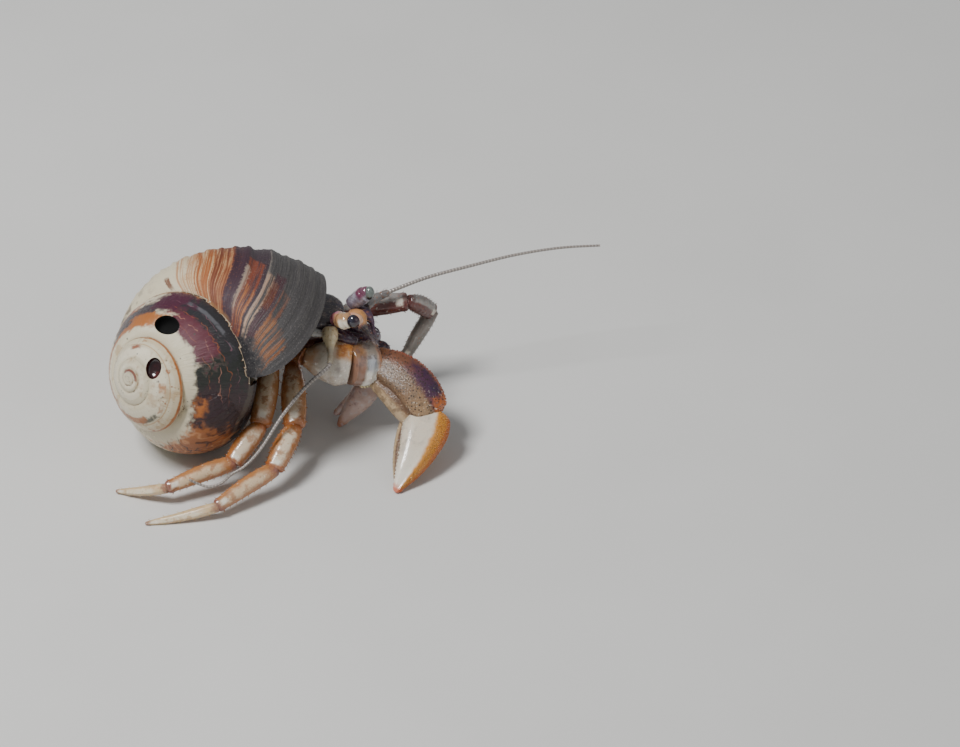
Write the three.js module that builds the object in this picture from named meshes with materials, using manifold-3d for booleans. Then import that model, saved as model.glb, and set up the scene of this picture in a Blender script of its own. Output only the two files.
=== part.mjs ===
// Hermit crab walking in a turban shell, at life size.
// Millimetres, +Z up. +X is the way the crab walks, -Y is its right-hand side.
// Every limb is given by its joints, from the body outwards, and by the half widths of
// each segment. The shell is a wall wound round an axis, with a hollow behind its lip.

import * as THREE from 'three';
import { mergeVertices } from 'three/addons/utils/BufferGeometryUtils.js';
import Module from 'manifold-3d';

const wasm = await Module();
wasm.setup();

// ---------------------------------------------------------------------------
// Driving dimensions
// ---------------------------------------------------------------------------

const TURN = 2 * Math.PI;
const GAP = 0.12; // clearance between neighbouring hard parts
const CENTRE = new THREE.Vector3(-13.33, -10.36, 0); // middle of the animal's footprint

const UP = new THREE.Vector3(0, 0, 1);
const LIMB_FACE = new THREE.Vector3(0, -0.81, 0.59); // the broad side of the limbs looks up and out

const SHELL = {
	apex: [-37.7, -19.46, 13.43], // where the suture spiral starts, on the axis
	axisAzimuth: 225.2, // the axis points at the apex: back, to the right side and up
	axisElevation: 21.1,
	roll: 24.6, // turns the start of the winding angle off the vertical
	sutureRadius: 4.25, // at winding angle 0
	sutureDrop: 2.85,
	radiusGrowth: 0.1096, // per radian
	dropGrowth: 0.158,
	descent: 0.36, // mm per radian squared: near the lip the suture runs lower down the whorl
	spireStart: -6.9,
	spireEnd: 3.1, // the spire's whorls sink under the last one before this
	spireSink: 1.6, // winding angle over which both ends of the spire sink away
	tipRadius: 5.2, // ball on the axis that rounds off the top
	tipDrop: 0.8,
	spireBulge: 0.13, // of the chord between two sutures
	whorlStart: 0.9,
	whorlRise: 1.9, // winding angle over which the last whorl swells out of the spire
	lip: 7.93, // winding angle of the lip at the suture
	lipSlant: 1.276, // the lip and growth lines lean back by this angle at the base
	sutureSide: -1.65, // place of the suture round the section
	sectionTilt: 0.15,
	centreRadius: 6.85, // the last whorl's section one turn round
	centreDrop: 9.6,
	halfWidth: 5.6,
	halfHeight: 9.72,
	centreGrowth: 0.118,
	widthGrowth: 0.12,
	heightGrowth: 0.156,
	dropRate: 0.121,
	leastGrowth: 0.655, // the whorl before the last keeps at least this size
	tuck: 0.11, // the outer lip draws in by this share
	tuckStart: 6.9,
	tuckSide: 1.0,
	wall: 0.9,
	hollowDepth: 3.7, // winding angle from the lip back to the end of the hollow
	pits: [ // drill holes; each mouth's place, and the tilt of the hole towards the apex
		{ angle: 0.514, fromAxis: 6.2, drop: 4.0, tilt: 0.75, radius: 1.3, depth: 1.6 },
		{ angle: 1.252, fromAxis: 3.2, drop: 1.55, tilt: 1.08, radius: 0.95, depth: 1.0 },
	],
};

const BODY = {
	centre: [-17.8, -6.9, 14.2], // middle of the shield's upper face
	heading: -30, // degrees from +X
	shieldLength: 6.8,
	thoraxDrop: 3.6,
};

// ---------------------------------------------------------------------------
// Tools for shapes
// ---------------------------------------------------------------------------

const vec = (point) => new THREE.Vector3(...point);

// A smooth function of 0..1 through evenly spaced values.
function profile(values) {
	const curve = new THREE.SplineCurve(values.map((value, i) => new THREE.Vector2(i, value)));
	return (t) => curve.getPoint(t).y;
}

function toSolid(geometry) {
	const bare = geometry.clone();
	bare.deleteAttribute('normal');
	bare.deleteAttribute('uv');
	const merged = mergeVertices(bare, 1e-5);
	const vertProperties = Float32Array.from(merged.attributes.position.array);
	const triVerts = Uint32Array.from(merged.index.array);
	return new wasm.Manifold(new wasm.Mesh({ numProp: 3, vertProperties, triVerts }));
}

function toGeometry(solid) {
	const { vertProperties, triVerts } = solid.getMesh();
	const geometry = new THREE.BufferGeometry();
	geometry.setAttribute('position', new THREE.BufferAttribute(new Float32Array(vertProperties), 3));
	geometry.setIndex(new THREE.BufferAttribute(new Uint32Array(triVerts), 1));
	geometry.computeVertexNormals();
	return geometry;
}

// The largest piece left after cutting; slivers fall away.
function mainPiece(solid) {
	const pieces = solid.decompose();
	return pieces.reduce((best, piece) => (piece.volume() > best.volume() ? piece : best));
}

// A cylinder's rings laid along a path. across and through give the half width and half
// thickness; face is the direction that the broad side looks. grow swells the whole bar.
function bar({ path, across, through = across, face = LIMB_FACE, sides = 8, rings = 5 }, grow = 0) {
	const points = path.map(vec);
	const curve = new THREE.CatmullRomCurve3(points, false, 'centripetal');
	const width = profile(across);
	const depth = profile(through);
	const geometry = new THREE.CylinderGeometry(1, 1, 1, sides, rings);
	const position = geometry.attributes.position;
	for (let i = 0; i < position.count; i++) {
		const along = position.getY(i) + 0.5;
		const t = (1 - Math.cos(Math.PI * along)) / 2;
		const tangent = curve.getTangentAt(t);
		const side = new THREE.Vector3().crossVectors(tangent, face).normalize();
		const out = new THREE.Vector3().crossVectors(side, tangent);
		const place = curve.getPointAt(t);
		const isCap = along < 1e-6 || along > 1 - 1e-6;
		if (isCap) place.addScaledVector(tangent, along < 0.5 ? -grow : grow);
		place.addScaledVector(side, position.getX(i) * (width(t) + grow));
		place.addScaledVector(out, position.getZ(i) * (depth(t) + grow));
		position.setXYZ(i, place.x, place.y, place.z);
	}
	return toSolid(geometry);
}

function ball(centre, radius, detail = 10) {
	const geometry = new THREE.SphereGeometry(radius, detail, detail - 2);
	geometry.translate(...centre);
	return toSolid(geometry);
}

// ---------------------------------------------------------------------------
// Shell
// ---------------------------------------------------------------------------

const azimuth = THREE.MathUtils.degToRad(SHELL.axisAzimuth);
const elevation = THREE.MathUtils.degToRad(SHELL.axisElevation);
const axis = new THREE.Vector3(
	Math.cos(elevation) * Math.cos(azimuth),
	Math.cos(elevation) * Math.sin(azimuth),
	Math.sin(elevation),
);
const windZero = UP.clone().addScaledVector(axis, -axis.z).normalize()
	.applyAxisAngle(axis, THREE.MathUtils.degToRad(SHELL.roll));
const windQuarter = new THREE.Vector3().crossVectors(windZero, axis);

// A point given by its distance from the axis, its drop below the apex and its winding angle.
function shellPoint(radius, drop, angle) {
	return vec(SHELL.apex)
		.addScaledVector(windZero, radius * Math.cos(angle))
		.addScaledVector(windQuarter, radius * Math.sin(angle))
		.addScaledVector(axis, -drop);
}

const drop = (angle) => SHELL.sutureDrop * Math.exp(SHELL.dropGrowth * angle);

// The seam between two whorls, as distance from the axis and drop below the apex.
function suture(angle) {
	const descent = SHELL.descent * Math.max(angle - TURN, 0) ** 2;
	return new THREE.Vector2(
		SHELL.sutureRadius * Math.exp(SHELL.radiusGrowth * angle) - descent,
		drop(angle) + descent,
	);
}

// Outer half (0..PI) bulges between two sutures, inner half (PI..2 PI) reaches for the axis.
// At both ends of the spire the section sinks inwards, so that no step shows.
function spireSection(angle, round) {
	const { spireStart, spireEnd, spireSink, spireBulge, lip } = SHELL;
	const upper = suture(angle);
	const chord = suture(Math.min(angle + TURN, lip)).sub(upper);
	const outward = new THREE.Vector2(chord.y, -chord.x);
	const bulge = round < Math.PI ? spireBulge : 0.45;
	const sink = 0.12 * (1 - THREE.MathUtils.smoothstep(angle, spireStart, spireStart + spireSink))
		+ 0.3 * THREE.MathUtils.smoothstep(angle, spireEnd - spireSink, spireEnd);
	return upper.addScaledVector(chord, (1 - Math.cos(round)) / 2)
		.addScaledVector(outward, bulge * Math.sin(round) - sink);
}

const softFloor = (value, floor) => (value ** 10 + floor ** 10) ** 0.1;

function whorlSection(angle, round, wall) {
	const past = angle - TURN;
	const centreScale = softFloor(Math.exp(SHELL.centreGrowth * past), SHELL.leastGrowth);
	const widthScale = softFloor(Math.exp(SHELL.widthGrowth * past), SHELL.leastGrowth);
	const rise = THREE.MathUtils.smoothstep(angle, SHELL.whorlStart - SHELL.lipSlant, SHELL.whorlStart + SHELL.whorlRise);
	const near = THREE.MathUtils.smoothstep(angle + lean(round), SHELL.tuckStart, SHELL.lip);
	const tuck = SHELL.tuck * near * Math.max(Math.cos(round - SHELL.tuckSide), 0);
	const swell = (0.7 + 0.3 * rise) * (1 - tuck);
	const x = (SHELL.halfWidth * widthScale * swell - wall) * Math.cos(round);
	const y = (SHELL.halfHeight * Math.exp(SHELL.heightGrowth * past) * swell - wall) * Math.sin(round);
	const centreDrop = drop(angle) + SHELL.centreDrop * Math.exp(SHELL.dropRate * past);
	const cos = Math.cos(SHELL.sectionTilt);
	const sin = Math.sin(SHELL.sectionTilt);
	return new THREE.Vector2(SHELL.centreRadius * centreScale + x * cos - y * sin, centreDrop + x * sin + y * cos);
}

const lean = (round) => SHELL.lipSlant * (1 - Math.cos(round - SHELL.sutureSide)) / 2;

// A length of tube wound from one angle to another. Neighbouring lengths share their end ring.
function wound(from, to, sides, steps, place) {
	const geometry = new THREE.CylinderGeometry(1, 1, 1, sides, steps);
	const position = geometry.attributes.position;
	for (let i = 0; i < position.count; i++) {
		const [x, z] = [position.getX(i), position.getZ(i)];
		const growth = THREE.MathUtils.lerp(from, to, position.getY(i) + 0.5);
		const isRim = Math.hypot(x, z) > 0.5;
		const point = place(growth, Math.atan2(z, x), isRim);
		position.setXYZ(i, point.x, point.y, point.z);
	}
	return toSolid(geometry);
}

function spireLength(from, to) {
	return wound(from, to, 12, 6, (angle, round, isRim) => {
		const rounded = round < 0 ? round + TURN : round;
		const spot = isRim ? spireSection(angle, rounded)
			: spireSection(angle, 0).add(spireSection(angle, Math.PI)).multiplyScalar(0.5);
		return shellPoint(Math.max(spot.x, 0.02), spot.y, angle);
	});
}

function whorlLength(from, to, steps, wall) {
	return wound(from, to, 18, steps, (growth, round, isRim) => {
		const angle = growth - (isRim ? lean(round) : SHELL.lipSlant / 2);
		const spot = whorlSection(angle, round, wall);
		if (!isRim) spot.set(SHELL.centreRadius * Math.exp(SHELL.centreGrowth * (angle - TURN)), spot.y);
		return shellPoint(spot.x, spot.y, angle);
	});
}

function joined(solids) {
	return solids.reduce((whole, solid) => whole.add(solid));
}

// The spire's whorls, from the tip down to where the last whorl takes over.
function spire() {
	const { spireStart, spireEnd } = SHELL;
	const lengths = 5;
	const step = (spireEnd - spireStart) / lengths;
	const parts = [];
	for (let i = 0; i < lengths; i++) {
		parts.push(spireLength(spireStart + i * step, spireStart + (i + 1) * step));
	}
	return joined(parts);
}

// A ball on the axis rounds off the top and fills the middle of the spire.
function core() {
	const { tipRadius, tipDrop } = SHELL;
	return ball(shellPoint(0, tipDrop + tipRadius, 0).toArray(), tipRadius, 14);
}

function lastWhorl(grow = 0) {
	const { whorlStart, lip } = SHELL;
	const bounds = [whorlStart, whorlStart + 2.4, whorlStart + 4.8, lip];
	return joined([0, 1, 2].map((i) => whorlLength(bounds[i], bounds[i + 1], 8, -grow)));
}

function hollow(grow = 0) {
	const { lip, hollowDepth, wall } = SHELL;
	const back = lip - hollowDepth;
	const beyondLip = lip + 0.12;
	const middle = (back + beyondLip) / 2;
	return whorlLength(back, middle, 5, wall + grow).add(whorlLength(middle, beyondLip, 5, wall + grow));
}

function pit({ angle, fromAxis, drop: down, tilt, radius, depth }) {
	const mouth = shellPoint(fromAxis, down, angle);
	const outward = shellPoint(fromAxis + Math.cos(tilt), down - Math.sin(tilt), angle).sub(mouth);
	const geometry = new THREE.CylinderGeometry(radius, radius * 0.8, 2 * depth, 14);
	geometry.applyQuaternion(new THREE.Quaternion().setFromUnitVectors(new THREE.Vector3(0, 1, 0), outward));
	geometry.translate(mouth.x, mouth.y, mouth.z);
	return toSolid(geometry);
}

// Everything below the floor is planed away, which leaves small flats to rest on.
function planed(solid) {
	const slab = new THREE.BoxGeometry(200, 200, 10);
	slab.translate(0, 0, -5);
	return solid.subtract(toSolid(slab));
}

function shellSolid() {
	const solid = joined([spire(), core(), lastWhorl()]).subtract(hollow());
	return planed(mainPiece(SHELL.pits.reduce((cut, each) => cut.subtract(pit(each)), solid)));
}

// ---------------------------------------------------------------------------
// Limbs: joints from the body outwards, then each segment's half widths and half thicknesses
// ---------------------------------------------------------------------------

const LEG_THICKNESS = 0.74; // half thickness over half width

const LEG_SHAPES = {
	merus: [0.7, 1.1, 1.36, 1.34, 1.0],
	carpus: [0.8, 1.12, 1.22, 1.12, 0.85],
	propodus: [0.8, 0.98, 0.95, 0.82, 0.6],
	dactyl: [0.56, 0.6, 0.52, 0.4, 0.25],
};

const LEGS = [
	{
		name: 'right_leg2',
		size: 1,
		joints: [[-20.3, -8.5, 8.1], [-19.8, -17.0, 5.2], [-22.0, -21.5, 3.0], [-28.0, -26.0, 1.4], [-35.5, -27.3, 0.2]],
	},
	{
		name: 'right_leg3',
		size: 0.97,
		joints: [[-22.3, -8.9, 8.8], [-23.5, -17.2, 5.5], [-26.4, -20.6, 3.2], [-33.4, -23.6, 2.1], [-38.9, -21.6, 0.2]],
	},
	{
		name: 'left_leg2',
		size: 0.86,
		joints: [[-15.6, -3.7, 10.7], [-7.7, -3.2, 12.0], [-5.2, -1.6, 9.5], [-8.2, -2.4, 4.0], [-11.6, -3.0, 0.12]],
	},
	{
		name: 'left_leg3',
		size: 0.9,
		joints: [[-17.0, -3.5, 9.0], [-14.2, 0.2, 6.6], [-16.0, 3.0, 3.4], [-20.4, 5.3, 1.6], [-25.6, 6.6, 0.2]],
	},
];

const between = (a, b, t) => a.map((value, i) => THREE.MathUtils.lerp(value, b[i], t));

// A segment from joint a to joint b, bowed sideways by bow millimetres along rise.
function segment(a, b, widths, thickness, options = {}) {
	const { bow = 0, rise = [0, 0, 1], from = 0.02, to = 0.98, ...rest } = options;
	const middle = between(a, b, 0.5).map((value, i) => value + bow * rise[i]);
	const path = [between(a, b, from), middle, between(a, b, to)];
	return { path, across: widths, through: widths.map((value) => value * thickness), ...rest };
}

function legSegments({ name, size, joints }) {
	const [base, knee, ankle, wrist, tip] = joints;
	const scaled = (values) => values.map((value) => value * size);
	return [
		[`${name}_merus`, segment(base, knee, scaled(LEG_SHAPES.merus), LEG_THICKNESS, { bow: 0.3 })],
		[`${name}_carpus`, segment(knee, ankle, scaled(LEG_SHAPES.carpus), LEG_THICKNESS, { bow: 0.25, rings: 6 })],
		[`${name}_propodus`, segment(ankle, wrist, scaled(LEG_SHAPES.propodus), LEG_THICKNESS, { bow: 0.15 })],
		[`${name}_dactyl`, segment(wrist, tip, scaled(LEG_SHAPES.dactyl), 0.85, { bow: -0.2, sides: 8, to: 1 })],
	];
}

const RIGHT_CLAW = {
	hip: [-21.0, -8.9, 10.3],
	thigh: [-18.7, -11.0, 10.2],
	elbow: [-13.8, -11.2, 9.3],
	wrist: [-11.7, -9.8, 8.6],
	hinge: [-5.6, -14.3, 4.5],
	tip: [-8.8, -21.9, 0.24],
};

const RIGHT_FIXED_FINGER = {
	path: [[-7.4, -13.0, 4.1], [-8.9, -16.8, 2.6], [-9.3, -21.1, 0.8]],
	across: [1.0, 1.0, 0.8, 0.6, 0.3],
	through: [0.9, 0.8, 0.65, 0.5, 0.3],
};

const LEFT_CLAW = {
	shoulder: [-15.3, -5.6, 10.4],
	elbow: [-10.8, -5.5, 8.5],
	wrist: [-11.0, -7.9, 5.6],
	tip: [-15.4, -10.0, 0.2],
	hinge: [-13.0, -8.3, 4.0],
	fingerTip: [-15.8, -9.2, 1.2],
};

// ---------------------------------------------------------------------------
// Head: soft curves and small parts, all on the crab's own heading
// ---------------------------------------------------------------------------

const heading = THREE.MathUtils.degToRad(BODY.heading);
const ahead = new THREE.Vector3(Math.cos(heading), Math.sin(heading), 0);
const leftward = new THREE.Vector3(-Math.sin(heading), Math.cos(heading), 0);

// A point so far ahead of the middle of the shield, to its left, and above it.
function onBody(forward, left, above) {
	return vec(BODY.centre)
		.addScaledVector(ahead, forward)
		.addScaledVector(leftward, left)
		.add(new THREE.Vector3(0, 0, above))
		.toArray();
}

// Ahead of the middle of the shield, to its left, and above it.
const SHELL_LEGS = [
	['right_leg4', [[-1.4, -2.7, -3.6], [-2.8, -4.3, -4.2], [-1.8, -4.9, -3.0]], [0.55, 0.6, 0.55, 0.42]],
	['left_leg4', [[-1.4, 2.7, -3.5], [-3.2, 3.4, -3.1], [-2.3, 4.1, -2.6]], [0.55, 0.6, 0.55, 0.42]],
	['right_leg5', [[-2.9, -1.0, 0.2], [-4.2, -1.5, 0.8], [-3.2, -1.9, 1.3]], [0.4, 0.4, 0.32]],
	['left_leg5', [[-2.9, 0.9, 0.2], [-4.2, 1.2, 0.8], [-3.2, 1.7, 0.7]], [0.4, 0.4, 0.32]],
];

const FEELERS = {
	right_antenna_base: {
		path: [[-16.05, -10.2, 13.3], [-16.0, -12.2, 12.6], [-15.95, -13.4, 12.1], [-16.0, -14.4, 11.7]],
		across: [0.8, 0.78, 0.45, 0.32, 0.3],
	},
	right_antenna: {
		path: [
			[-16.05, -14.6, 11.6], [-18.6, -16.5, 10.2], [-21.0, -18.5, 8.0], [-23.2, -20.9, 5.5], [-24.9, -22.5, 4.3],
			[-26.4, -23.1, 3.6], [-27.3, -24.0, 3.2], [-28.6, -24.4, 2.9], [-29.8, -24.2, 3.1], [-30.8, -24.2, 3.7],
		],
		across: [0.3, 0.26, 0.25, 0.25],
		rings: 20,
	},
	left_antenna_base: {
		path: [[-12.4, -5.9, 13.3], [-11.2, -4.8, 13.6], [-9.8, -4.3, 14.0]],
		across: [0.6, 0.55, 0.45, 0.36],
	},
	left_antenna: {
		path: [
			[-9.6, -4.3, 14.05], [-5.8, -3.0, 15.0], [-0.8, -1.8, 15.8],
			[3.8, -0.7, 16.4], [8.6, 0.2, 16.7], [13.0, 0.8, 16.6],
		],
		across: [0.32, 0.27, 0.25, 0.25],
		rings: 14,
	},
	right_antennule: {
		path: [[-14.0, -8.4, 13.7], [-13.1, -8.9, 13.9], [-12.5, -9.7, 13.4], [-11.9, -10.5, 12.8], [-10.8, -11.4, 12.0]],
		across: [0.7, 0.95, 0.45, 0.3, 0.26],
		rings: 9,
	},
	left_antennule: {
		path: [[-13.2, -6.9, 13.3], [-12.2, -7.5, 13.2], [-11.6, -8.2, 12.7], [-11.3, -9.3, 11.9]],
		across: [0.6, 0.6, 0.4, 0.27, 0.26],
		rings: 8,
	},
	right_maxilliped: {
		path: [[-15.9, -9.0, 12.2], [-14.3, -9.7, 12.1], [-13.3, -9.6, 11.4]],
		across: [0.6, 0.65, 0.5, 0.35],
	},
	left_maxilliped: {
		path: [[-14.9, -7.4, 12.1], [-13.3, -8.0, 11.9], [-12.3, -7.9, 11.2]],
		across: [0.6, 0.65, 0.5, 0.35],
	},
};

const EYES = [
	{
		side: 'right',
		stalk: [[-15.6, -9.4, 14.2], [-14.4, -10.6, 14.7], [-13.75, -11.1, 15.0]],
		cornea: [-13.45, -11.25, 15.1],
	},
	{
		side: 'left',
		stalk: [[-14.0, -7.0, 14.2], [-13.1, -7.1, 15.1], [-12.2, -7.3, 16.0]],
		cornea: [-11.85, -7.4, 16.15],
	},
];

// ---------------------------------------------------------------------------
// Finishes: base colour and roughness
// ---------------------------------------------------------------------------

const FINISH = {
	shell: ['#7d6a5c', 0.6],
	shield: ['#6b5560', 0.4],
	soft: ['#b98f84', 0.6],
	rightClaw: ['#b98a63', 0.35],
	leftClaw: ['#a98a86', 0.4],
	leg: ['#d08a5e', 0.3],
	eyestalk: ['#c9b3b0', 0.35],
	cornea: ['#1c1420', 0.08],
	feeler: ['#cbb6a0', 0.45],
};

const group = new THREE.Group();
group.position.copy(CENTRE).negate();

const placed = []; // { box, keepOut } of each part that is already there

// Adds a part. make(grow) gives its solid, swollen by grow. Where it would run into a part
// that is already there it is cut back, so that a small gap stays between the two.
function add(name, finish, make) {
	let solid = make(0);
	const { min, max } = solid.boundingBox();
	const box = new THREE.Box3(new THREE.Vector3(...min), new THREE.Vector3(...max));
	for (const other of placed) {
		if (box.intersectsBox(other.box)) solid = solid.subtract(other.keepOut);
	}
	const [color, roughness] = FINISH[finish];
	const material = new THREE.MeshStandardMaterial({ color, roughness, metalness: 0 });
	const mesh = new THREE.Mesh(toGeometry(planed(mainPiece(solid))), material);
	mesh.name = name;
	group.add(mesh);
	placed.push({ box: box.clone().expandByScalar(GAP), keepOut: make(GAP) });
}

const addBar = (name, finish, shape) => add(name, finish, (grow) => bar(shape, grow));

function addShell() {
	const solid = shellSolid();
	const wallKeepOut = lastWhorl(GAP).subtract(hollow(GAP));
	add('shell', 'shell', (grow) => (grow ? wallKeepOut : solid));
}

function addTrunk() {
	const half = BODY.shieldLength / 2;
	addBar('shield', 'shield', {
		path: [onBody(-half, 0, -1.2), onBody(0, 0, -0.6), onBody(half - 0.1, 0, -0.95)],
		across: [2.3, 3.1, 3.05, 2.7, 1.4],
		through: [0.5, 0.7, 0.75, 0.65, 0.4],
		face: UP,
		sides: 14,
	});
	addBar('thorax', 'soft', {
		path: [onBody(-half, 0, -BODY.thoraxDrop), onBody(0, 0, -BODY.thoraxDrop), onBody(2.3, 0, -3.2)],
		across: [1.9, 2.5, 2.5, 2.1, 1.2],
		through: [1.6, 2.0, 2.0, 1.7, 1.0],
		face: UP,
		sides: 12,
	});
	addBar('abdomen', 'soft', {
		path: [onBody(-half - 0.4, -0.2, -3.2), [-24.2, -6.6, 12.6], [-26.6, -5.6, 13.0], [-29.2, -5.0, 12.0], [-31.0, -5.6, 10.0]],
		across: [1.7, 2.6, 2.8, 2.3, 1.3],
		through: [1.7, 2.6, 2.8, 2.3, 1.3],
		face: UP,
		sides: 10,
		rings: 8,
	});
}

function addRightClaw() {
	const { hip, thigh, elbow, wrist, hinge, tip } = RIGHT_CLAW;
	addBar('right_claw_ischium', 'rightClaw', segment(hip, thigh, [0.8, 1.0, 1.05], 0.9, { rings: 5 }));
	addBar('right_claw_merus', 'rightClaw',
		segment(thigh, elbow, [1.0, 1.75, 2.25, 2.4, 2.0], 0.75, { rings: 8, sides: 12 }));
	addBar('right_claw_carpus', 'rightClaw',
		segment(elbow, wrist, [1.9, 2.45, 2.3], 0.78, { rings: 6, sides: 12 }));
	const palm = segment(wrist, hinge, [1.5, 2.5, 3.0, 3.0, 2.5], 0.66,
		{ sides: 12, rings: 7, bow: 0.8, rise: [0.7, 0.3, 0.6] });
	add('right_claw_palm', 'rightClaw', (grow) => bar(palm, grow).add(bar(RIGHT_FIXED_FINGER, grow)));
	addBar('right_claw_finger', 'rightClaw',
		segment(hinge, tip, [2.4, 2.5, 1.95, 1.25, 0.4], 0.55,
			{ sides: 12, rings: 8, bow: 0.9, rise: [0.8, 0, 0.5], to: 1 }));
}

function addLeftClaw() {
	const { shoulder, elbow, wrist, tip, hinge, fingerTip } = LEFT_CLAW;
	addBar('left_claw_merus', 'leftClaw', segment(shoulder, elbow, [0.8, 1.15, 1.3, 1.1], 0.8));
	addBar('left_claw_carpus', 'leftClaw', segment(elbow, wrist, [1.0, 1.25, 1.05], 0.85, { rings: 6 }));
	addBar('left_claw_palm', 'leftClaw', segment(wrist, tip, [1.0, 1.4, 1.35, 0.85, 0.3], 0.7, { to: 1 }));
	addBar('left_claw_finger', 'leftClaw', segment(hinge, fingerTip, [0.5, 0.52, 0.45, 0.27], 0.9, { rings: 6 }));
}

function addLegs() {
	for (const leg of LEGS) {
		for (const [name, shape] of legSegments(leg)) addBar(name, 'leg', shape);
	}
}

// The fourth and fifth pairs are short and brace the crab against the shell from inside.
function addShellLegs() {
	for (const [name, joints, across] of SHELL_LEGS) {
		addBar(name, 'soft', { path: joints.map((joint) => onBody(...joint)), across, sides: 6 });
	}
}

function addHead() {
	for (const { side, stalk, cornea } of EYES) {
		addBar(`${side}_eyestalk`, 'eyestalk', { path: stalk, across: [0.7, 0.72, 0.8, 0.76] });
		add(`${side}_cornea`, 'cornea', (grow) => ball(cornea, 0.8 + grow));
	}
	for (const [name, shape] of Object.entries(FEELERS)) {
		const sides = shape.rings > 16 ? 6 : 8;
		addBar(name, 'feeler', { sides, ...shape });
	}
}

addShell();
addTrunk();
addRightClaw();
addLeftClaw();
addLegs();
addHead();
addShellLegs();

export default group;
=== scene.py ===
import math

import bpy
import numpy as np
from mathutils.kdtree import KDTree
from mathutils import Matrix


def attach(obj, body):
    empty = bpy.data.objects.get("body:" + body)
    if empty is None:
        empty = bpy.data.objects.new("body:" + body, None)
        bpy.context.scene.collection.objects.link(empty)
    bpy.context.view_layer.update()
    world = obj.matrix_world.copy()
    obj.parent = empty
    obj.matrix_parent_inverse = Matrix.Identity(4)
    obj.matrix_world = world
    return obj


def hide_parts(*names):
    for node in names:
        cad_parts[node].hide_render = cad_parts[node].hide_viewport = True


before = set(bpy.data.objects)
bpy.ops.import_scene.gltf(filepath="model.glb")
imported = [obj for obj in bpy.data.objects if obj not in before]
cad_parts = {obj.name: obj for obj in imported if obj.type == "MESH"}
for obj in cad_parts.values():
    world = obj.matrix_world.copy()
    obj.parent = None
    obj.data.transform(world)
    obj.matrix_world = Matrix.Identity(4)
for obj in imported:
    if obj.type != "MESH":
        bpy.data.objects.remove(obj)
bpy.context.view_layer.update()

bl_info = {
    "name": "Hermit Crab",
    "version": (1, 0, 0),
    "blender": (4, 5, 0),
    "location": "3D View > Sidebar > Hermit Crab",
    "description": "Builds a hermit crab walking in a turban shell, around its frame of solids",
    "category": "Add Mesh",
}

# ---------------------------------------------------------------------------
# Setting out. Sizes below are in millimetres, from a point on the floor near
# the crab; ORIGIN is where the frame's own origin lies from that point.
# ---------------------------------------------------------------------------

MM = 0.001
TURN = 2 * math.pi
BODY = "root"
ORIGIN = np.array([-13.33, -10.36, 0.0])
UP = np.array([0.0, 0.0, 1.0])
LIMB_FACE = np.array([0.0, -0.81, 0.59])  # the broad side of the limbs looks up and out

SHELL_APEX = np.array([-37.7, -19.46, 13.43])
SHELL_AZIMUTH = 225.2
SHELL_ELEVATION = 21.1
SHELL_ROLL = 24.6

SUTURE_RADIUS = 4.25  # the seam between whorls, at winding angle 0
SUTURE_DROP = 2.85
RADIUS_GROWTH = 0.1096  # per radian
DROP_GROWTH = 0.158
SUTURE_DESCENT = 0.36  # mm per radian squared, near the lip
SPIRE_START = -6.9
SPIRE_END = 3.1
SPIRE_SINK = 1.6
SPIRE_BULGE = 0.13
TIP_RADIUS = 5.2
TIP_DROP = 0.8

WHORL_START = 0.9
WHORL_RISE = 1.9
LIP = 7.93
LIP_SLANT = 1.276
SUTURE_SIDE = -1.65  # place of the suture round the last whorl's section
SECTION_TILT = 0.15
CENTRE_RADIUS = 6.85
CENTRE_DROP = 9.6
HALF_WIDTH = 5.6
HALF_HEIGHT = 9.72
CENTRE_GROWTH = 0.118
WIDTH_GROWTH = 0.12
HEIGHT_GROWTH = 0.156
DROP_RATE = 0.121
LEAST_GROWTH = 0.655
TUCK = 0.11  # the outer lip draws in by this share
TUCK_START = 6.9
TUCK_SIDE = 1.0
WALL = 0.9
HOLLOW_DEPTH = 3.7

SEAM_DRAG = 0.17  # the bands lag a little beside the seam

SPIRE_OVERLAP = 0.03  # radians by which neighbouring lengths overlap, so that they fuse
WHORL_OVERLAP = 0.02
HOLLOW_PAST_LIP = 0.12
LIP_THINNING = 0.42  # taken off the wall, over the last stretch of growth before the lip
THINNING_LENGTH = 2.6  # radians
LIP_ROUNDING = 0.12

# Ridges across the last whorl beside its dark bands: height, place, width
RIDGES = ((0.15, 7.12, 0.022), (0.2, 7.33, 0.03), (-0.1, 7.22, 0.05))
# Growth wrinkles: height, how many per radian, how far they waver, how often
WRINKLES = ((0.07, 47, 0.0, 0), (0.05, 83, 1.5, 3), (0.05, 19, 1.0, 2))

# Drill holes: winding angle, distance from the axis, drop, tilt to the apex, half width, half height, depth
DEEP_PIT = (0.514, 6.2, 4.0, 0.75, 1.5, 1.1, 1.6)
RED_PIT = (1.252, 3.2, 1.55, 1.08, 0.84, 1.15, 0.8)
PIT_SLACK = 1.003  # faces this close to a hole's wall, as a share of its width, belong to it
PIT_REACH = 1.2  # and this far past its bottom and its opening


# ---------------------------------------------------------------------------
# Numbers and curves
# ---------------------------------------------------------------------------

STEPS_PER_POINT = 60  # into which a path is cut to measure its length
NEARBY = 1e-3  # share of a path over which its direction is taken


def smoothstep(value, low, high):
    share = np.clip((value - low) / (high - low), 0, 1)
    return share * share * (3 - 2 * share)


def unit(vectors):
    return vectors / np.linalg.norm(vectors, axis=-1, keepdims=True)


def hump(value, centre, width):
    return np.exp(-(((value - centre) / width) ** 2))


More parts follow.
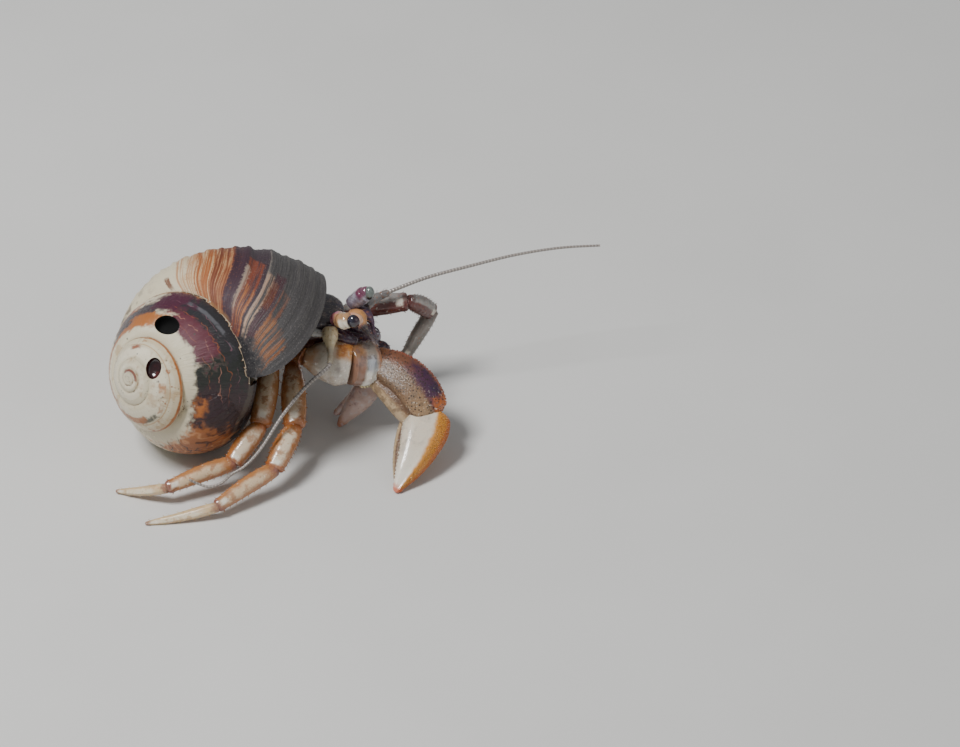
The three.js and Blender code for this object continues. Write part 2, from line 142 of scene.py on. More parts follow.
def through(values, share):
    """A smooth curve through evenly spaced values, at shares 0..1 of its length."""
    values = np.asarray(values, float)
    last = len(values) - 1
    place = np.clip(np.asarray(share, float), 0, 1) * last
    index = np.minimum(place.astype(int), last - 1)
    t = place - index
    if values.ndim > 1:
        t = t[..., None]
    before = values[np.maximum(index - 1, 0)]
    start = values[index]
    end = values[index + 1]
    after = values[np.minimum(index + 2, last)]
    bend = 2 * before - 5 * start + 4 * end - after
    twist = 3 * start - before - 3 * end + after
    return start + 0.5 * t * (end - before + t * (bend + t * twist))


def on_path(path, share):
    """Places and directions at shares of the true length of a smooth path."""
    steps = np.linspace(0, 1, STEPS_PER_POINT * len(path))
    dense = through(path, steps)
    lengths = np.linalg.norm(np.diff(dense, axis=0), axis=1)
    reached = np.concatenate([[0], np.cumsum(lengths)])
    reached /= reached[-1]
    at = np.interp(share, reached, steps)
    place = through(path, at)
    ahead = through(path, np.minimum(at + NEARBY, 1))
    behind = through(path, np.maximum(at - NEARBY, 0))
    return place, unit(ahead - behind)


# ---------------------------------------------------------------------------
# Surfaces: points, faces, and marks that the materials read at each point
# ---------------------------------------------------------------------------

POLE_GAP = 0.02  # radians between a pole and the first ring round it
LIMB_POLE_GAP = 2e-4  # the same on a limb, as a share of its length


def grid_faces(rings, sides, first=0):
    """Quads over closed rings, with a fan to a pole at each end."""
    faces = []
    for ring in range(rings - 1):
        for side in range(sides):
            a = first + ring * sides + side
            b = first + ring * sides + (side + 1) % sides
            faces.append((a, b, b + sides, a + sides))
    start = first + rings * sides
    for side in range(sides):
        following = (side + 1) % sides
        last_ring = first + (rings - 1) * sides
        faces.append((start, first + following, first + side))
        faces.append((start + 1, last_ring + side, last_ring + following))
    return faces


def volume(points, faces):
    """The volume inside a closed surface, negative where it is inside out."""
    total = 0.0
    for face in faces:
        for i in range(1, len(face) - 1):
            a, b, c = points[face[0]], points[face[i]], points[face[i + 1]]
            total += np.dot(a, np.cross(b, c))
    return total / 6


def closed(ring_points, marks):
    """A closed surface from rings of points; marks are arrays of the same shape as the rings."""
    rings, sides = ring_points.shape[:2]
    poles = [ring_points[0].mean(axis=0), ring_points[-1].mean(axis=0)]
    points = np.concatenate([ring_points.reshape(-1, 3), poles])
    faces = grid_faces(rings, sides)
    if volume(points - points.mean(axis=0), faces) < 0:
        faces = [face[::-1] for face in faces]
    flat = {}
    for name, values in marks.items():
        ends = [values[0].mean(axis=0), values[-1].mean(axis=0)]
        flat[name] = np.concatenate([values.reshape((-1,) + values.shape[2:]), ends])
    return {"points": points, "faces": faces, "marks": flat}


def together(surfaces):
    """Several surfaces in one, without joining them."""
    names = sorted({name for surface in surfaces for name in surface["marks"]})
    points = []
    faces = []
    marks = {name: [] for name in names}
    start = 0
    for surface in surfaces:
        count = len(surface["points"])
        points.append(surface["points"])
        faces += [tuple(start + i for i in face) for face in surface["faces"]]
        for name in names:
            is_direction = name == "stud_axis"
            blank = np.zeros((count, 3)) if is_direction else np.zeros(count)
            marks[name].append(surface["marks"].get(name, blank))
        start += count
    marks = {name: np.concatenate(values) for name, values in marks.items()}
    return {"points": np.concatenate(points), "faces": faces, "marks": marks}


def to_mesh(name, surface):
    """A Blender mesh of the surface, in metres from the frame's origin, with its marks."""
    mesh = bpy.data.meshes.new(name)
    placed = (surface["points"] - ORIGIN) * MM
    mesh.from_pydata(placed.tolist(), [], surface["faces"])
    for mark, values in surface["marks"].items():
        kind, field = ("FLOAT_VECTOR", "vector") if values.ndim > 1 else ("FLOAT", "value")
        attribute = mesh.attributes.new(mark, kind, "POINT")
        attribute.data.foreach_set(field, np.ascontiguousarray(values, np.float32).ravel())
    mesh.update()
    return mesh


def evaluated(thing, name):
    """A plain mesh of the object as its modifiers leave it."""
    bpy.context.view_layer.update()
    depsgraph = bpy.context.evaluated_depsgraph_get()
    mesh = bpy.data.meshes.new_from_object(thing.evaluated_get(depsgraph))
    mesh.name = name
    return mesh


def carved(first, others):
    """Joins and cuts closed surfaces; each point takes its marks from the nearest point before."""
    whole = bpy.data.objects.new("whole", to_mesh("whole", first))
    bpy.context.scene.collection.objects.link(whole)
    for operation, surface in others:
        tool = bpy.data.objects.new("tool", to_mesh("tool", surface))
        bpy.context.scene.collection.objects.link(tool)
        boolean = whole.modifiers.new("carve", "BOOLEAN")
        boolean.operation = operation
        boolean.solver = "MANIFOLD"
        boolean.object = tool
        result = evaluated(whole, "whole")
        whole.modifiers.clear()
        whole.data = result
        bpy.data.objects.remove(tool)
    mesh = whole.data
    count = len(mesh.vertices)
    places = np.empty(count * 3)
    mesh.vertices.foreach_get("co", places)
    places = places.reshape(-1, 3) / MM + ORIGIN
    faces = [tuple(polygon.vertices) for polygon in mesh.polygons]
    bpy.data.objects.remove(whole)
    if not faces:
        raise RuntimeError("carving left nothing")
    source = together([first] + [surface for _, surface in others if surface["marks"]])
    tree = KDTree(len(source["points"]))
    for i, point in enumerate(source["points"]):
        tree.insert(point, i)
    tree.balance()
    nearest = np.array([tree.find(place)[1] for place in places])
    marks = {name: values[nearest] for name, values in source["marks"].items()}
    return {"points": places, "faces": faces, "marks": marks}


# ---------------------------------------------------------------------------
# Limbs: rings of a rounded section laid along a path
# ---------------------------------------------------------------------------


def limb(path, across, thick=None, face=LIMB_FACE, blunt=(0.04, 0.04), square=2.2, relief=None):
    """A limb's shape. across and thick are its half width and half thickness along the path."""
    thick = across if thick is None else thick
    return dict(path=path, across=across, thick=thick, face=face, blunt=blunt, square=square, relief=relief)


def limb_points(shape, along, turn):
    """Points of the limb's skin, at shares along it and angles round it, with their outward lean."""
    place, tangent = on_path(shape["path"], along)
    side = unit(np.cross(tangent, shape["face"]))
    out = np.cross(side, tangent)
    half_width = through(shape["across"], along)
    half_depth = through(shape["thick"], along)
    start, end = shape["blunt"]
    from_start = np.clip(1 - along / start, 0, 1)
    from_end = np.clip(1 - (1 - along) / end, 0, 1)
    closing = np.sqrt(1 - from_start**2) * np.sqrt(1 - from_end**2)
    power = 2 / shape["square"]
    x = np.sign(np.cos(turn)) * np.abs(np.cos(turn)) ** power
    y = np.sign(np.sin(turn)) * np.abs(np.sin(turn)) ** power
    lift = shape["relief"](along, x, y) if shape["relief"] else np.zeros_like(along)
    outward = unit(side * (x / half_width)[..., None] + out * (y / half_depth)[..., None])
    skin = place + side * (x * half_width * closing)[..., None] + out * (y * half_depth * closing)[..., None]
    return skin + outward * (lift * closing)[..., None], outward, x, y


def limb_surface(shape, rings=44, sides=32):
    """The limb's skin, with rings closer together at its ends."""
    even = np.linspace(0, 1, rings)
    along = (1 - np.cos(math.pi * even)) / 2
    along = np.clip(along, LIMB_POLE_GAP, 1 - LIMB_POLE_GAP)
    turn = np.arange(sides) / sides * TURN
    along, turn = np.meshgrid(along, turn, indexing="ij")
    points, _, x, y = limb_points(shape, along, turn)
    return closed(points, {"along": along, "side": x, "front": y})


def ball_surface(centre, radii, along=0.0, rings=24, sides=32):
    """An egg shape. Its marks side and front run from -1 to 1 across it and up it."""
    down = np.linspace(POLE_GAP, math.pi - POLE_GAP, rings)
    turn = np.arange(sides) / sides * TURN
    down, turn = np.meshgrid(down, turn, indexing="ij")
    direction = np.stack([np.sin(down) * np.cos(turn), np.sin(down) * np.sin(turn), np.cos(down)], axis=-1)
    points = np.asarray(centre) + direction * np.asarray(radii)
    marks = {"along": np.full(down.shape, along), "side": direction[..., 0], "front": direction[..., 2]}
    return closed(points, marks)


def studs(shape, along, turn, size, long=0.8, lean=0.0):
    """Small grains (long under 2) or spines on a limb. lean tips them towards its far end."""
    along = np.asarray(along, float)
    turn = np.asarray(turn, float)
    points, outward, x, y = limb_points(shape, along, turn)
    _, tangent = on_path(shape["path"], along)
    axis = unit(outward + tangent * lean)
    size = np.broadcast_to(size, along.shape).astype(float)
    marks = {
        "along": along, "side": x, "front": y, "stud_axis": axis,
        "stud_size": size * MM, "stud_long": np.full(along.shape, float(long)),
    }
    return {"points": points, "faces": [], "marks": marks}


def sown(seed, count, along, turn, jitter=0.5):
    """Places for studs: count[0] rows of count[1], each moved at random by a share of its spacing."""
    draw = np.random.default_rng(seed)
    rows, row_length = count
    a = (np.arange(row_length)[None, :] + 0.5 + jitter * (draw.random((rows, row_length)) - 0.5)) / row_length
    b = (np.arange(rows)[:, None] + 0.5 + jitter * (draw.random((rows, row_length)) - 0.5)) / rows
    along = along[0] + (along[1] - along[0]) * a
    turn = turn[0] + (turn[1] - turn[0]) * (b + 0 * a)
    return along.ravel(), turn.ravel()


# ---------------------------------------------------------------------------
# Shader and geometry nodes
# ---------------------------------------------------------------------------


def node(tree, kind, inputs=None, **settings):
    """Adds a node with its settings, values and links."""
    made = tree.nodes.new(kind)
    for name, value in settings.items():
        setattr(made, name, value)
    for socket, value in (inputs or {}).items():
        if isinstance(value, bpy.types.NodeSocket):
            tree.links.new(value, made.inputs[socket])
        else:
            made.inputs[socket].default_value = value
    return made


def linear(colour):
    """An sRGB hex colour as linear RGBA."""
    channels = [int(colour[i:i + 2], 16) / 255 for i in (1, 3, 5)]
    return [c / 12.92 if c <= 0.04045 else ((c + 0.055) / 1.055) ** 2.4 for c in channels] + [1.0]


def geometry_tree(title, sizes):
    """A new tree that takes a geometry, named sizes and a material, and the node that gives them."""
    tree = bpy.data.node_groups.new(title, "GeometryNodeTree")
    tree.interface.new_socket("Geometry", in_out="INPUT", socket_type="NodeSocketGeometry")
    for name, value in sizes.items():
        kind = "NodeSocketInt" if isinstance(value, int) else "NodeSocketFloat"
        socket = tree.interface.new_socket(name, in_out="INPUT", socket_type=kind)
        socket.default_value = value
    tree.interface.new_socket("Material", in_out="INPUT", socket_type="NodeSocketMaterial")
    tree.interface.new_socket("Geometry", in_out="OUTPUT", socket_type="NodeSocketGeometry")
    return tree, node(tree, "NodeGroupInput")


def finished(tree, given, geometry):
    """Ends a tree: its instances made real, smooth and of the given material."""
    real = node(tree, "GeometryNodeRealizeInstances", {"Geometry": geometry})
    smooth = node(tree, "GeometryNodeSetShadeSmooth", {"Geometry": real.outputs[0]})
    painted = node(tree, "GeometryNodeSetMaterial", {
        "Geometry": smooth.outputs[0], "Material": given.outputs["Material"]})
    node(tree, "NodeGroupOutput", {0: painted.outputs[0]})
    return tree


def studs_tree():
    """Geometry nodes: a grain or a spine on each loose point, joined to the skin it stands on."""
    tree, given = geometry_tree("Grains and spines", {"Grain Scale": 1.0, "Spine Sides": 7})
    size = node(tree, "GeometryNodeInputNamedAttribute", {"Name": "stud_size"}, data_type="FLOAT")
    long = node(tree, "GeometryNodeInputNamedAttribute", {"Name": "stud_long"}, data_type="FLOAT")
    axis = node(tree, "GeometryNodeInputNamedAttribute", {"Name": "stud_axis"}, data_type="FLOAT_VECTOR")
    is_stud = node(tree, "FunctionNodeCompare", {0: size.outputs[0], 1: 0.0}, operation="GREATER_THAN")
    is_spine = node(tree, "FunctionNodeCompare", {0: long.outputs[0], 1: 2.0}, operation="GREATER_THAN")
    parted = node(tree, "GeometryNodeSeparateGeometry", {
        "Geometry": given.outputs["Geometry"], "Selection": is_stud.outputs[0]})
    grown = node(tree, "ShaderNodeMath", {
        0: size.outputs[0], 1: given.outputs["Grain Scale"]}, operation="MULTIPLY")
    height = node(tree, "ShaderNodeMath", {0: grown.outputs[0], 1: long.outputs[0]}, operation="MULTIPLY")
    scale = node(tree, "ShaderNodeCombineXYZ", {
        "X": grown.outputs[0], "Y": grown.outputs[0], "Z": height.outputs[0]})
    rotation = node(tree, "FunctionNodeAlignRotationToVector", {"Vector": axis.outputs[0]}, axis="Z")
    grain = node(tree, "GeometryNodeMeshUVSphere", {"Segments": 8, "Rings": 5, "Radius": 1.0})
    spine = node(tree, "GeometryNodeMeshCone", {
        "Vertices": given.outputs["Spine Sides"], "Radius Top": 0.12, "Radius Bottom": 1.0, "Depth": 2.0})
    is_grain = node(tree, "FunctionNodeBooleanMath", {0: is_spine.outputs[0]}, operation="NOT")
    whole = node(tree, "GeometryNodeJoinGeometry", {0: parted.outputs[1]})
    for chosen, stud in ((is_grain, grain), (is_spine, spine)):
        spread = node(tree, "GeometryNodeInstanceOnPoints", {
            "Points": parted.outputs[0], "Selection": chosen.outputs[0], "Instance": stud.outputs["Mesh"],
            "Rotation": rotation.outputs[0], "Scale": scale.outputs[0]})
        tree.links.new(spread.outputs[0], whole.inputs[0])
    return finished(tree, given, whole.outputs[0])


def lash_tree():
    """Geometry nodes: a beaded lash along a line of points, thinner towards its end."""
    tree, given = geometry_tree("Beaded lash", {
        "Root Radius": 0.00025, "Tip Radius": 0.0002, "Bead Length": 0.0004, "Bead Swell": 0.06})
    line = node(tree, "GeometryNodeMeshToCurve", {"Mesh": given.outputs["Geometry"]})
    step = node(tree, "ShaderNodeMath", {0: given.outputs["Bead Length"], 1: 6.0}, operation="DIVIDE")
    fine = node(tree, "GeometryNodeResampleCurve", {
        "Curve": line.outputs[0], "Length": step.outputs[0]}, mode="LENGTH")
    place = node(tree, "GeometryNodeSplineParameter")
    beads = node(tree, "ShaderNodeMath", {
        0: place.outputs["Length"], 1: given.outputs["Bead Length"]}, operation="DIVIDE")
    wave = node(tree, "ShaderNodeMath", {0: beads.outputs[0], 1: TURN}, operation="MULTIPLY")
    ripple = node(tree, "ShaderNodeMath", {0: wave.outputs[0]}, operation="SINE")
    swell = node(tree, "ShaderNodeMath", {
        0: ripple.outputs[0], 1: given.outputs["Bead Swell"], 2: 1.0}, operation="MULTIPLY_ADD")
    taper = node(tree, "ShaderNodeMapRange", {
        "Value": place.outputs["Factor"], "To Min": given.outputs["Root Radius"],
        "To Max": given.outputs["Tip Radius"]})
    radius = node(tree, "ShaderNodeMath", {0: swell.outputs[0], 1: taper.outputs[0]}, operation="MULTIPLY")
    marked = node(tree, "GeometryNodeStoreNamedAttribute", {
        "Geometry": fine.outputs[0], "Name": "bead", "Value": beads.outputs[0]},
        data_type="FLOAT", domain="POINT")
    along = node(tree, "GeometryNodeStoreNamedAttribute", {
        "Geometry": marked.outputs[0], "Name": "along", "Value": place.outputs["Factor"]},
        data_type="FLOAT", domain="POINT")
    ring = node(tree, "GeometryNodeCurvePrimitiveCircle", {"Resolution": 10, "Radius": 1.0})
    tube = node(tree, "GeometryNodeCurveToMesh", {
        "Curve": along.outputs[0], "Profile Curve": ring.outputs["Curve"],
        "Scale": radius.outputs[0], "Fill Caps": True})
    return finished(tree, given, tube.outputs[0])


def grown_with(thing, tree, name, **values):
    """Runs a geometry tree on the object and keeps the result as its plain mesh."""
    modifier = thing.modifiers.new(name, "NODES")
    modifier.node_group = tree
    for item in tree.interface.items_tree:
        key = item.name.replace(" ", "_").lower()
        if item.in_out == "INPUT" and key in values:
            modifier[item.identifier] = values[key]
    mesh = evaluated(thing, name)
    thing.modifiers.clear()
    thing.data = mesh


def piece(name, surface, material, nodes, sharp=40):
    """Makes one finished piece, standing for the given nodes of the frame."""
    thing = bpy.data.objects.new(name, to_mesh(name, surface))
    bpy.context.scene.collection.objects.link(thing)
    thing.data.materials.append(material)
    if "stud_size" in surface["marks"]:
        grown_with(thing, studs_tree(), name, material=material)
    thing.data.shade_smooth()
    thing.data.set_sharp_from_angle(angle=math.radians(sharp))
    for spare in ("stud_size", "stud_long", "stud_axis"):
        if spare in thing.data.attributes:
            thing.data.attributes.remove(thing.data.attributes[spare])
    for vertex in thing.data.vertices:  # grains and bristles stay above the floor
        vertex.co.z = max(vertex.co.z, 0.0)
    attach(thing, BODY)
    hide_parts(*nodes)
    return thing


# ---------------------------------------------------------------------------
# Materials. Noise sizes are in millimetres; ramps and frays are in a mark's own units.
# ---------------------------------------------------------------------------

NOISE_DETAIL = 3.0


def fresh_material(name):
    """A new material and its empty tree."""
    material = bpy.data.materials.new(name)
    material.use_nodes = True
    material.node_tree.nodes.clear()
    return material, material.node_tree


def measured(tree, source):
    """A number at each point. A source is the name of a mark on the mesh, the size of noise in
    millimetres, or a name with its sizes: noise and its detail, streaks that follow the shell's
    growth, swirling lines, dots, or a mark frayed by noise of a given share and size."""
    if isinstance(source, str):
        return node(tree, "ShaderNodeAttribute", attribute_name=source).outputs["Fac"]
    if isinstance(source, float):
        source = ("noise", source, NOISE_DETAIL)
    name, *sizes = source
    if name == "noise":
        millimetres, detail = sizes
        cloud = node(tree, "ShaderNodeTexNoise", {
            "Vector": node(tree, "ShaderNodeTexCoord").outputs["Object"], "Scale": 1 / (millimetres * MM),
            "Detail": detail, "Roughness": 0.6})
        return cloud.outputs["Fac"]
    if name == "streaks":
        fine, long = sizes
        place = node(tree, "ShaderNodeCombineXYZ", {
            "X": measured(tree, "band"), "Y": measured(tree, "across"), "Z": measured(tree, "zone")})
        stretch = node(tree, "ShaderNodeVectorMath", {
            0: place.outputs[0], 1: (fine, long, 3.0)}, operation="MULTIPLY")
        lines = node(tree, "ShaderNodeTexNoise", {
            "Vector": stretch.outputs[0], "Scale": 1.0, "Detail": 4.0, "Roughness": 0.65})
        return lines.outputs["Fac"]
    if name == "swirls":
        millimetres, count = sizes
        many = node(tree, "ShaderNodeMath", {
            0: measured(tree, ("noise", millimetres, 1.0)), 1: count}, operation="MULTIPLY")
        return node(tree, "ShaderNodeMath", {0: many.outputs[0], 1: 0.5}, operation="PINGPONG").outputs[0]
    if name == "dots":
        where = node(tree, "ShaderNodeTexCoord").outputs["Object"]
        dots = node(tree, "ShaderNodeTexVoronoi", {"Vector": where, "Scale": 1 / (sizes[0] * MM)})
        return dots.outputs["Distance"]
    share, millimetres = sizes
    rough = measured(tree, millimetres)
    middle = node(tree, "ShaderNodeMath", {0: rough, 1: share, 2: -share / 2}, operation="MULTIPLY_ADD")
    frayed = node(tree, "ShaderNodeMath", {0: measured(tree, name), 1: middle.outputs[0]}, operation="ADD")
    return frayed.outputs[0]


def coloured(tree, ground, layers):
    """Lays colours over a ground colour. A layer is a colour, its strength and the ramps that
    bound it: each ramp is a source and the values where it starts and is full."""
    sources = {}
    ground = linear(ground) if isinstance(ground, str) else list(ground)
    paint = node(tree, "ShaderNodeMix", {0: 0.0, 6: ground, 7: ground}, data_type="RGBA")
    for colour, strength, ramps in layers:
        cover = None
        for source, low, high in ramps:
            if source not in sources:
                sources[source] = measured(tree, source)
            ramp = node(tree, "ShaderNodeMapRange", {
                "Value": sources[source], "From Min": low, "From Max": high,
                "To Max": strength if cover is None else 1.0}, interpolation_type="SMOOTHSTEP")
            if cover is None:
                cover = ramp.outputs[0]
            else:
                both = node(tree, "ShaderNodeMath", {0: cover, 1: ramp.outputs[0]}, operation="MULTIPLY")
                cover = both.outputs[0]
        paint = node(tree, "ShaderNodeMix", {
            0: cover, 6: paint.outputs[2], 7: linear(colour)}, data_type="RGBA")
    return paint.outputs[2]


def chitin(name, ground, layers, rough=0.3, grain=0.35, grain_depth=0.03, coat=0.6, clear=0.12):
    """Wet crab's shell: a thin, slightly clear horn stiffened with lime. The film of water over
    its fine pores gives small sharp glints, and the clearness lets the edges glow."""
    material, tree = fresh_material(name)
    colour = coloured(tree, ground, layers)
    pores = measured(tree, grain)
    roughness = node(tree, "ShaderNodeMapRange", {
        "Value": measured(tree, 0.8), "To Min": rough - 0.08, "To Max": rough + 0.12})
    bump = node(tree, "ShaderNodeBump", {"Height": pores, "Distance": grain_depth * MM, "Strength": 0.7})
    skin = node(tree, "ShaderNodeBsdfPrincipled", {
        "Base Color": colour, "Roughness": roughness.outputs[0], "Normal": bump.outputs[0],
        "Coat Weight": coat, "Coat Roughness": 0.08, "Coat Normal": bump.outputs[0], "IOR": 1.5,
        "Subsurface Weight": clear, "Subsurface Radius": (0.6, 0.3, 0.2), "Subsurface Scale": 0.8 * MM})
    node(tree, "ShaderNodeOutputMaterial", {"Surface": skin.outputs[0]})
    return material


# ---------------------------------------------------------------------------
# Shell: a tube wound round a leaning axis
# ---------------------------------------------------------------------------


def shell_axes():
    """The shell's axis, towards its top, and the two directions across it."""
    azimuth, elevation = math.radians(SHELL_AZIMUTH), math.radians(SHELL_ELEVATION)
    flat = math.cos(elevation)
    axis = np.array([flat * math.cos(azimuth), flat * math.sin(azimuth), math.sin(elevation)])
    level = unit(UP - axis * axis[2])
    roll = math.radians(SHELL_ROLL)
    zero = level * math.cos(roll) + np.cross(axis, level) * math.sin(roll)
    return axis, zero, np.cross(zero, axis)


AXIS, WIND_ZERO, WIND_QUARTER = shell_axes()


def shell_point(radius, drop, angle):
    """A point by its distance from the axis, drop below the apex and winding angle."""
    radius, drop, angle = np.broadcast_arrays(radius, drop, angle)
    around = np.cos(angle)[..., None] * WIND_ZERO + np.sin(angle)[..., None] * WIND_QUARTER
    return SHELL_APEX + radius[..., None] * around - drop[..., None] * AXIS


def seam_drop(angle):
    """How far below the top the seam would lie if it wound evenly."""
    return SUTURE_DROP * np.exp(DROP_GROWTH * angle)


def suture(angle):
    """The seam's distance from the axis and its drop, which is steeper near the lip."""
    descent = SUTURE_DESCENT * np.maximum(angle - TURN, 0) ** 2
    return SUTURE_RADIUS * np.exp(RADIUS_GROWTH * angle) - descent, seam_drop(angle) + descent


def lean(turn):
    """How far the slanting lip lags behind, round the last whorl's section."""
    return LIP_SLANT * (1 - np.cos(turn - SUTURE_SIDE)) / 2


def soft_floor(value, floor):
    """The larger of two numbers, with a smooth change from one to the other."""
    return (value**10 + floor**10) ** 0.1


def spire_section(angle, turn):
    """Outer half (0..pi) bulges between two seams, inner half reaches for the axis."""
    upper_radius, upper_drop = suture(angle)
    lower_radius, lower_drop = suture(np.minimum(angle + TURN, LIP))
    wide, deep = lower_radius - upper_radius, lower_drop - upper_drop
    bulge = np.where(turn < math.pi, SPIRE_BULGE, 0.45)
    start_sink = 0.12 * (1 - smoothstep(angle, SPIRE_START, SPIRE_START + SPIRE_SINK))
    end_sink = 0.3 * smoothstep(angle, SPIRE_END - SPIRE_SINK, SPIRE_END)
    share = (1 - np.cos(turn)) / 2
    out = bulge * np.sin(turn) - start_sink - end_sink
    return upper_radius + wide * share + deep * out, upper_drop + deep * share - wide * out


def whorl_section(angle, turn, wall):
    """An oval that grows with the angle and draws in towards the lip."""
    past = angle - TURN
    centre_scale = soft_floor(np.exp(CENTRE_GROWTH * past), LEAST_GROWTH)
    width_scale = soft_floor(np.exp(WIDTH_GROWTH * past), LEAST_GROWTH)
    rise = smoothstep(angle, WHORL_START - LIP_SLANT, WHORL_START + WHORL_RISE)
    near = smoothstep(angle + lean(turn), TUCK_START, LIP)
    swell = (0.7 + 0.3 * rise) * (1 - TUCK * near * np.maximum(np.cos(turn - TUCK_SIDE), 0))
    x = (HALF_WIDTH * width_scale * swell - wall) * np.cos(turn)
    y = (HALF_HEIGHT * np.exp(HEIGHT_GROWTH * past) * swell - wall) * np.sin(turn)
    centre_drop = seam_drop(angle) + CENTRE_DROP * np.exp(DROP_RATE * past)
    cos, sin = math.cos(SECTION_TILT), math.sin(SECTION_TILT)
    return CENTRE_RADIUS * centre_scale + x * cos - y * sin, centre_drop + x * sin + y * cos


def spire_length(start, end, rings=60, sides=56):
    """A length of the upper whorls, grooved beside the seam."""
    angle = np.linspace(start, end, rings)
    turn = np.arange(sides) / sides * TURN
    angle, turn = np.meshgrid(angle, turn, indexing="ij")
    radius, drop = spire_section(angle, turn)
    outer = turn <= math.pi
    level = np.where(outer, (1 - np.cos(turn)) / 2, 0.0)
    groove = (0.17 * hump(level, 0.0, 0.035) + 0.05 * hump(level, 0.62, 0.03)) * outer
    wrinkle = 0.018 * np.sin(angle * 61) * np.sin(turn) * outer
    points = shell_point(np.maximum(radius - groove + wrinkle, 0.02), drop, angle)
    marks = {"winding": angle, "across": level, "level": level, "zone": np.zeros_like(angle), "band": angle}
    return closed(points, marks)


def whorl_length(start, end, wall, rings=90, sides=120, inside=False):
    """A length of the last whorl, or of the space inside it. The shell's lip is thin."""
    growth = np.linspace(start, end, rings)
    turn = -math.pi + np.arange(sides) / sides * TURN
    growth, turn = np.meshgrid(growth, turn, indexing="ij")
    angle = growth - lean(turn)
    across = (1 - np.cos(turn - SUTURE_SIDE)) / 2
    band = growth - SEAM_DRAG * np.exp(-across / 0.015)
    thinned = wall - LIP_THINNING * smoothstep(growth, LIP - THINNING_LENGTH, LIP) if inside else 0.0
    radius, drop = whorl_section(angle, turn, thinned)
    if not inside:
        late = smoothstep(growth, 4.6, 6.6)
        free = smoothstep(across, 0.02, 0.2)
        ridges = sum(height * hump(band, place, width) for height, place, width in RIDGES)
        steps = sum(height * np.sin(band * count + waver * np.sin(turn * waves))
                    for height, count, waver, waves in WRINKLES)
        lift = (ridges + steps * (0.35 + 0.65 * late)) * free
        lift -= LIP_ROUNDING * hump(growth, LIP, 0.05)
        radius = radius + lift * np.cos(turn)
        drop = drop + lift * np.sin(turn)
    points = shell_point(radius, drop, angle)
    seam = seam_drop(angle)
    marks = {
        "winding": angle, "across": across, "band": band,
        "level": (drop - seam) / (seam_drop(angle + TURN) - seam),
        # zone 2 is the hollow and the last whorl's inner side by its seam, which the shell material paints
        # dark as shade
        "zone": np.where(inside | ((turn < SUTURE_SIDE - 0.1) & (turn > -2.9)), 2.0, 1.0),
    }
    return closed(points, marks)


def bore_axes(pit):
    """A drill hole's middle, the way it opens, and the two directions across it."""
    angle, from_axis, drop, tilt = pit[:4]
    radial = math.cos(angle) * WIND_ZERO + math.sin(angle) * WIND_QUARTER
    outward = math.cos(tilt) * radial + math.sin(tilt) * AXIS
    side = unit(np.cross(outward, UP))
    middle = shell_point(np.array(from_axis), np.array(drop), np.array(angle))
    return middle, outward, side, np.cross(side, outward)


def pit_surface(pit):
    """A drill hole's bore, with a rounded bottom."""
    *_, wide, high, depth = pit
    middle, outward, side, over = bore_axes(pit)
    down = np.array([1.6, 0.6, 0.3, 0.0, -0.4, -0.7, -0.85, -0.95, -1.0])
    share = np.array([1.0, 1.0, 1.0, 1.0, 1.0, 0.92, 0.76, 0.48, 0.15])
    turn = np.arange(72) / 72 * TURN
    down, turn = np.meshgrid(down, turn, indexing="ij")
    down = np.where(down < 0, down * depth, down)
    points = middle + outward * down[..., None]
    points = points + side * (wide * share[:, None] * np.cos(turn))[..., None]
    return closed(points + over * (high * share[:, None] * np.sin(turn))[..., None], {})


def within_bore(places, pit):
    """Which places lie in a drill hole."""
    *_, wide, high, depth = pit
    middle, outward, side, over = bore_axes(pit)
    offset = places - middle
    spread = np.hypot(offset @ side / wide, offset @ over / high)
    return (spread < PIT_SLACK) & (np.abs(offset @ outward) < depth + PIT_REACH)


def top_surface():
    """The rounded top of the spire, with the winding seam of its first whorls pressed in."""
    down = np.linspace(0.006, math.pi - POLE_GAP, 150)
    turn = np.arange(140) / 140 * TURN
    down, turn = np.meshgrid(down, turn, indexing="ij")
    reach = np.maximum(TIP_RADIUS * np.sin(down), 0.03)
    start = np.log(reach / SUTURE_RADIUS) / RADIUS_GROWTH
    winding = start - np.mod(start - turn, TURN)
    inner, _ = suture(winding)
    outer, _ = suture(winding + TURN)
    level = (reach - inner) / (outer - inner)
    front = down < 1.2
    groove = (0.1 * hump(level, 0.0, 0.09) + 0.1 * hump(level, 1.0, 0.09)) * front
    groove = groove * smoothstep(reach, 0.15, 0.7) - 0.05 * np.sin(level * math.pi) * front
    radius = TIP_RADIUS + 0.07 - groove
    points = shell_point(radius * np.sin(down), TIP_DROP + TIP_RADIUS - radius * np.cos(down), turn)
    marks = {"winding": np.maximum(winding, -30), "across": level, "level": level,
             "zone": np.zeros_like(down), "band": winding}
    return closed(points, marks)


def shell_surface():
    """Spire, last whorl and rounded top in one, with the hollow and the two drill holes cut out."""
    cuts = np.linspace(SPIRE_START, SPIRE_END, 6)
    spire = [spire_length(a - SPIRE_OVERLAP, b + SPIRE_OVERLAP) for a, b in zip(cuts[:-1], cuts[1:])]
    cuts = np.linspace(WHORL_START, LIP, 4)
    whorl = [whorl_length(a, b + (WHORL_OVERLAP if b < LIP else 0), 0.0)
             for a, b in zip(cuts[:-1], cuts[1:])]
    cuts = np.linspace(LIP - HOLLOW_DEPTH, LIP + HOLLOW_PAST_LIP, 3)
    hollow = [whorl_length(a, b + (WHORL_OVERLAP if b < LIP else 0), WALL, inside=True)
              for a, b in zip(cuts[:-1], cuts[1:])]
    holes = [pit_surface(DEEP_PIT), pit_surface(RED_PIT)]
    steps = [("UNION", surface) for surface in whorl[1:] + spire + [top_surface()]]
    steps += [("DIFFERENCE", surface) for surface in hollow + holes]
    return carved(whorl[0], steps)


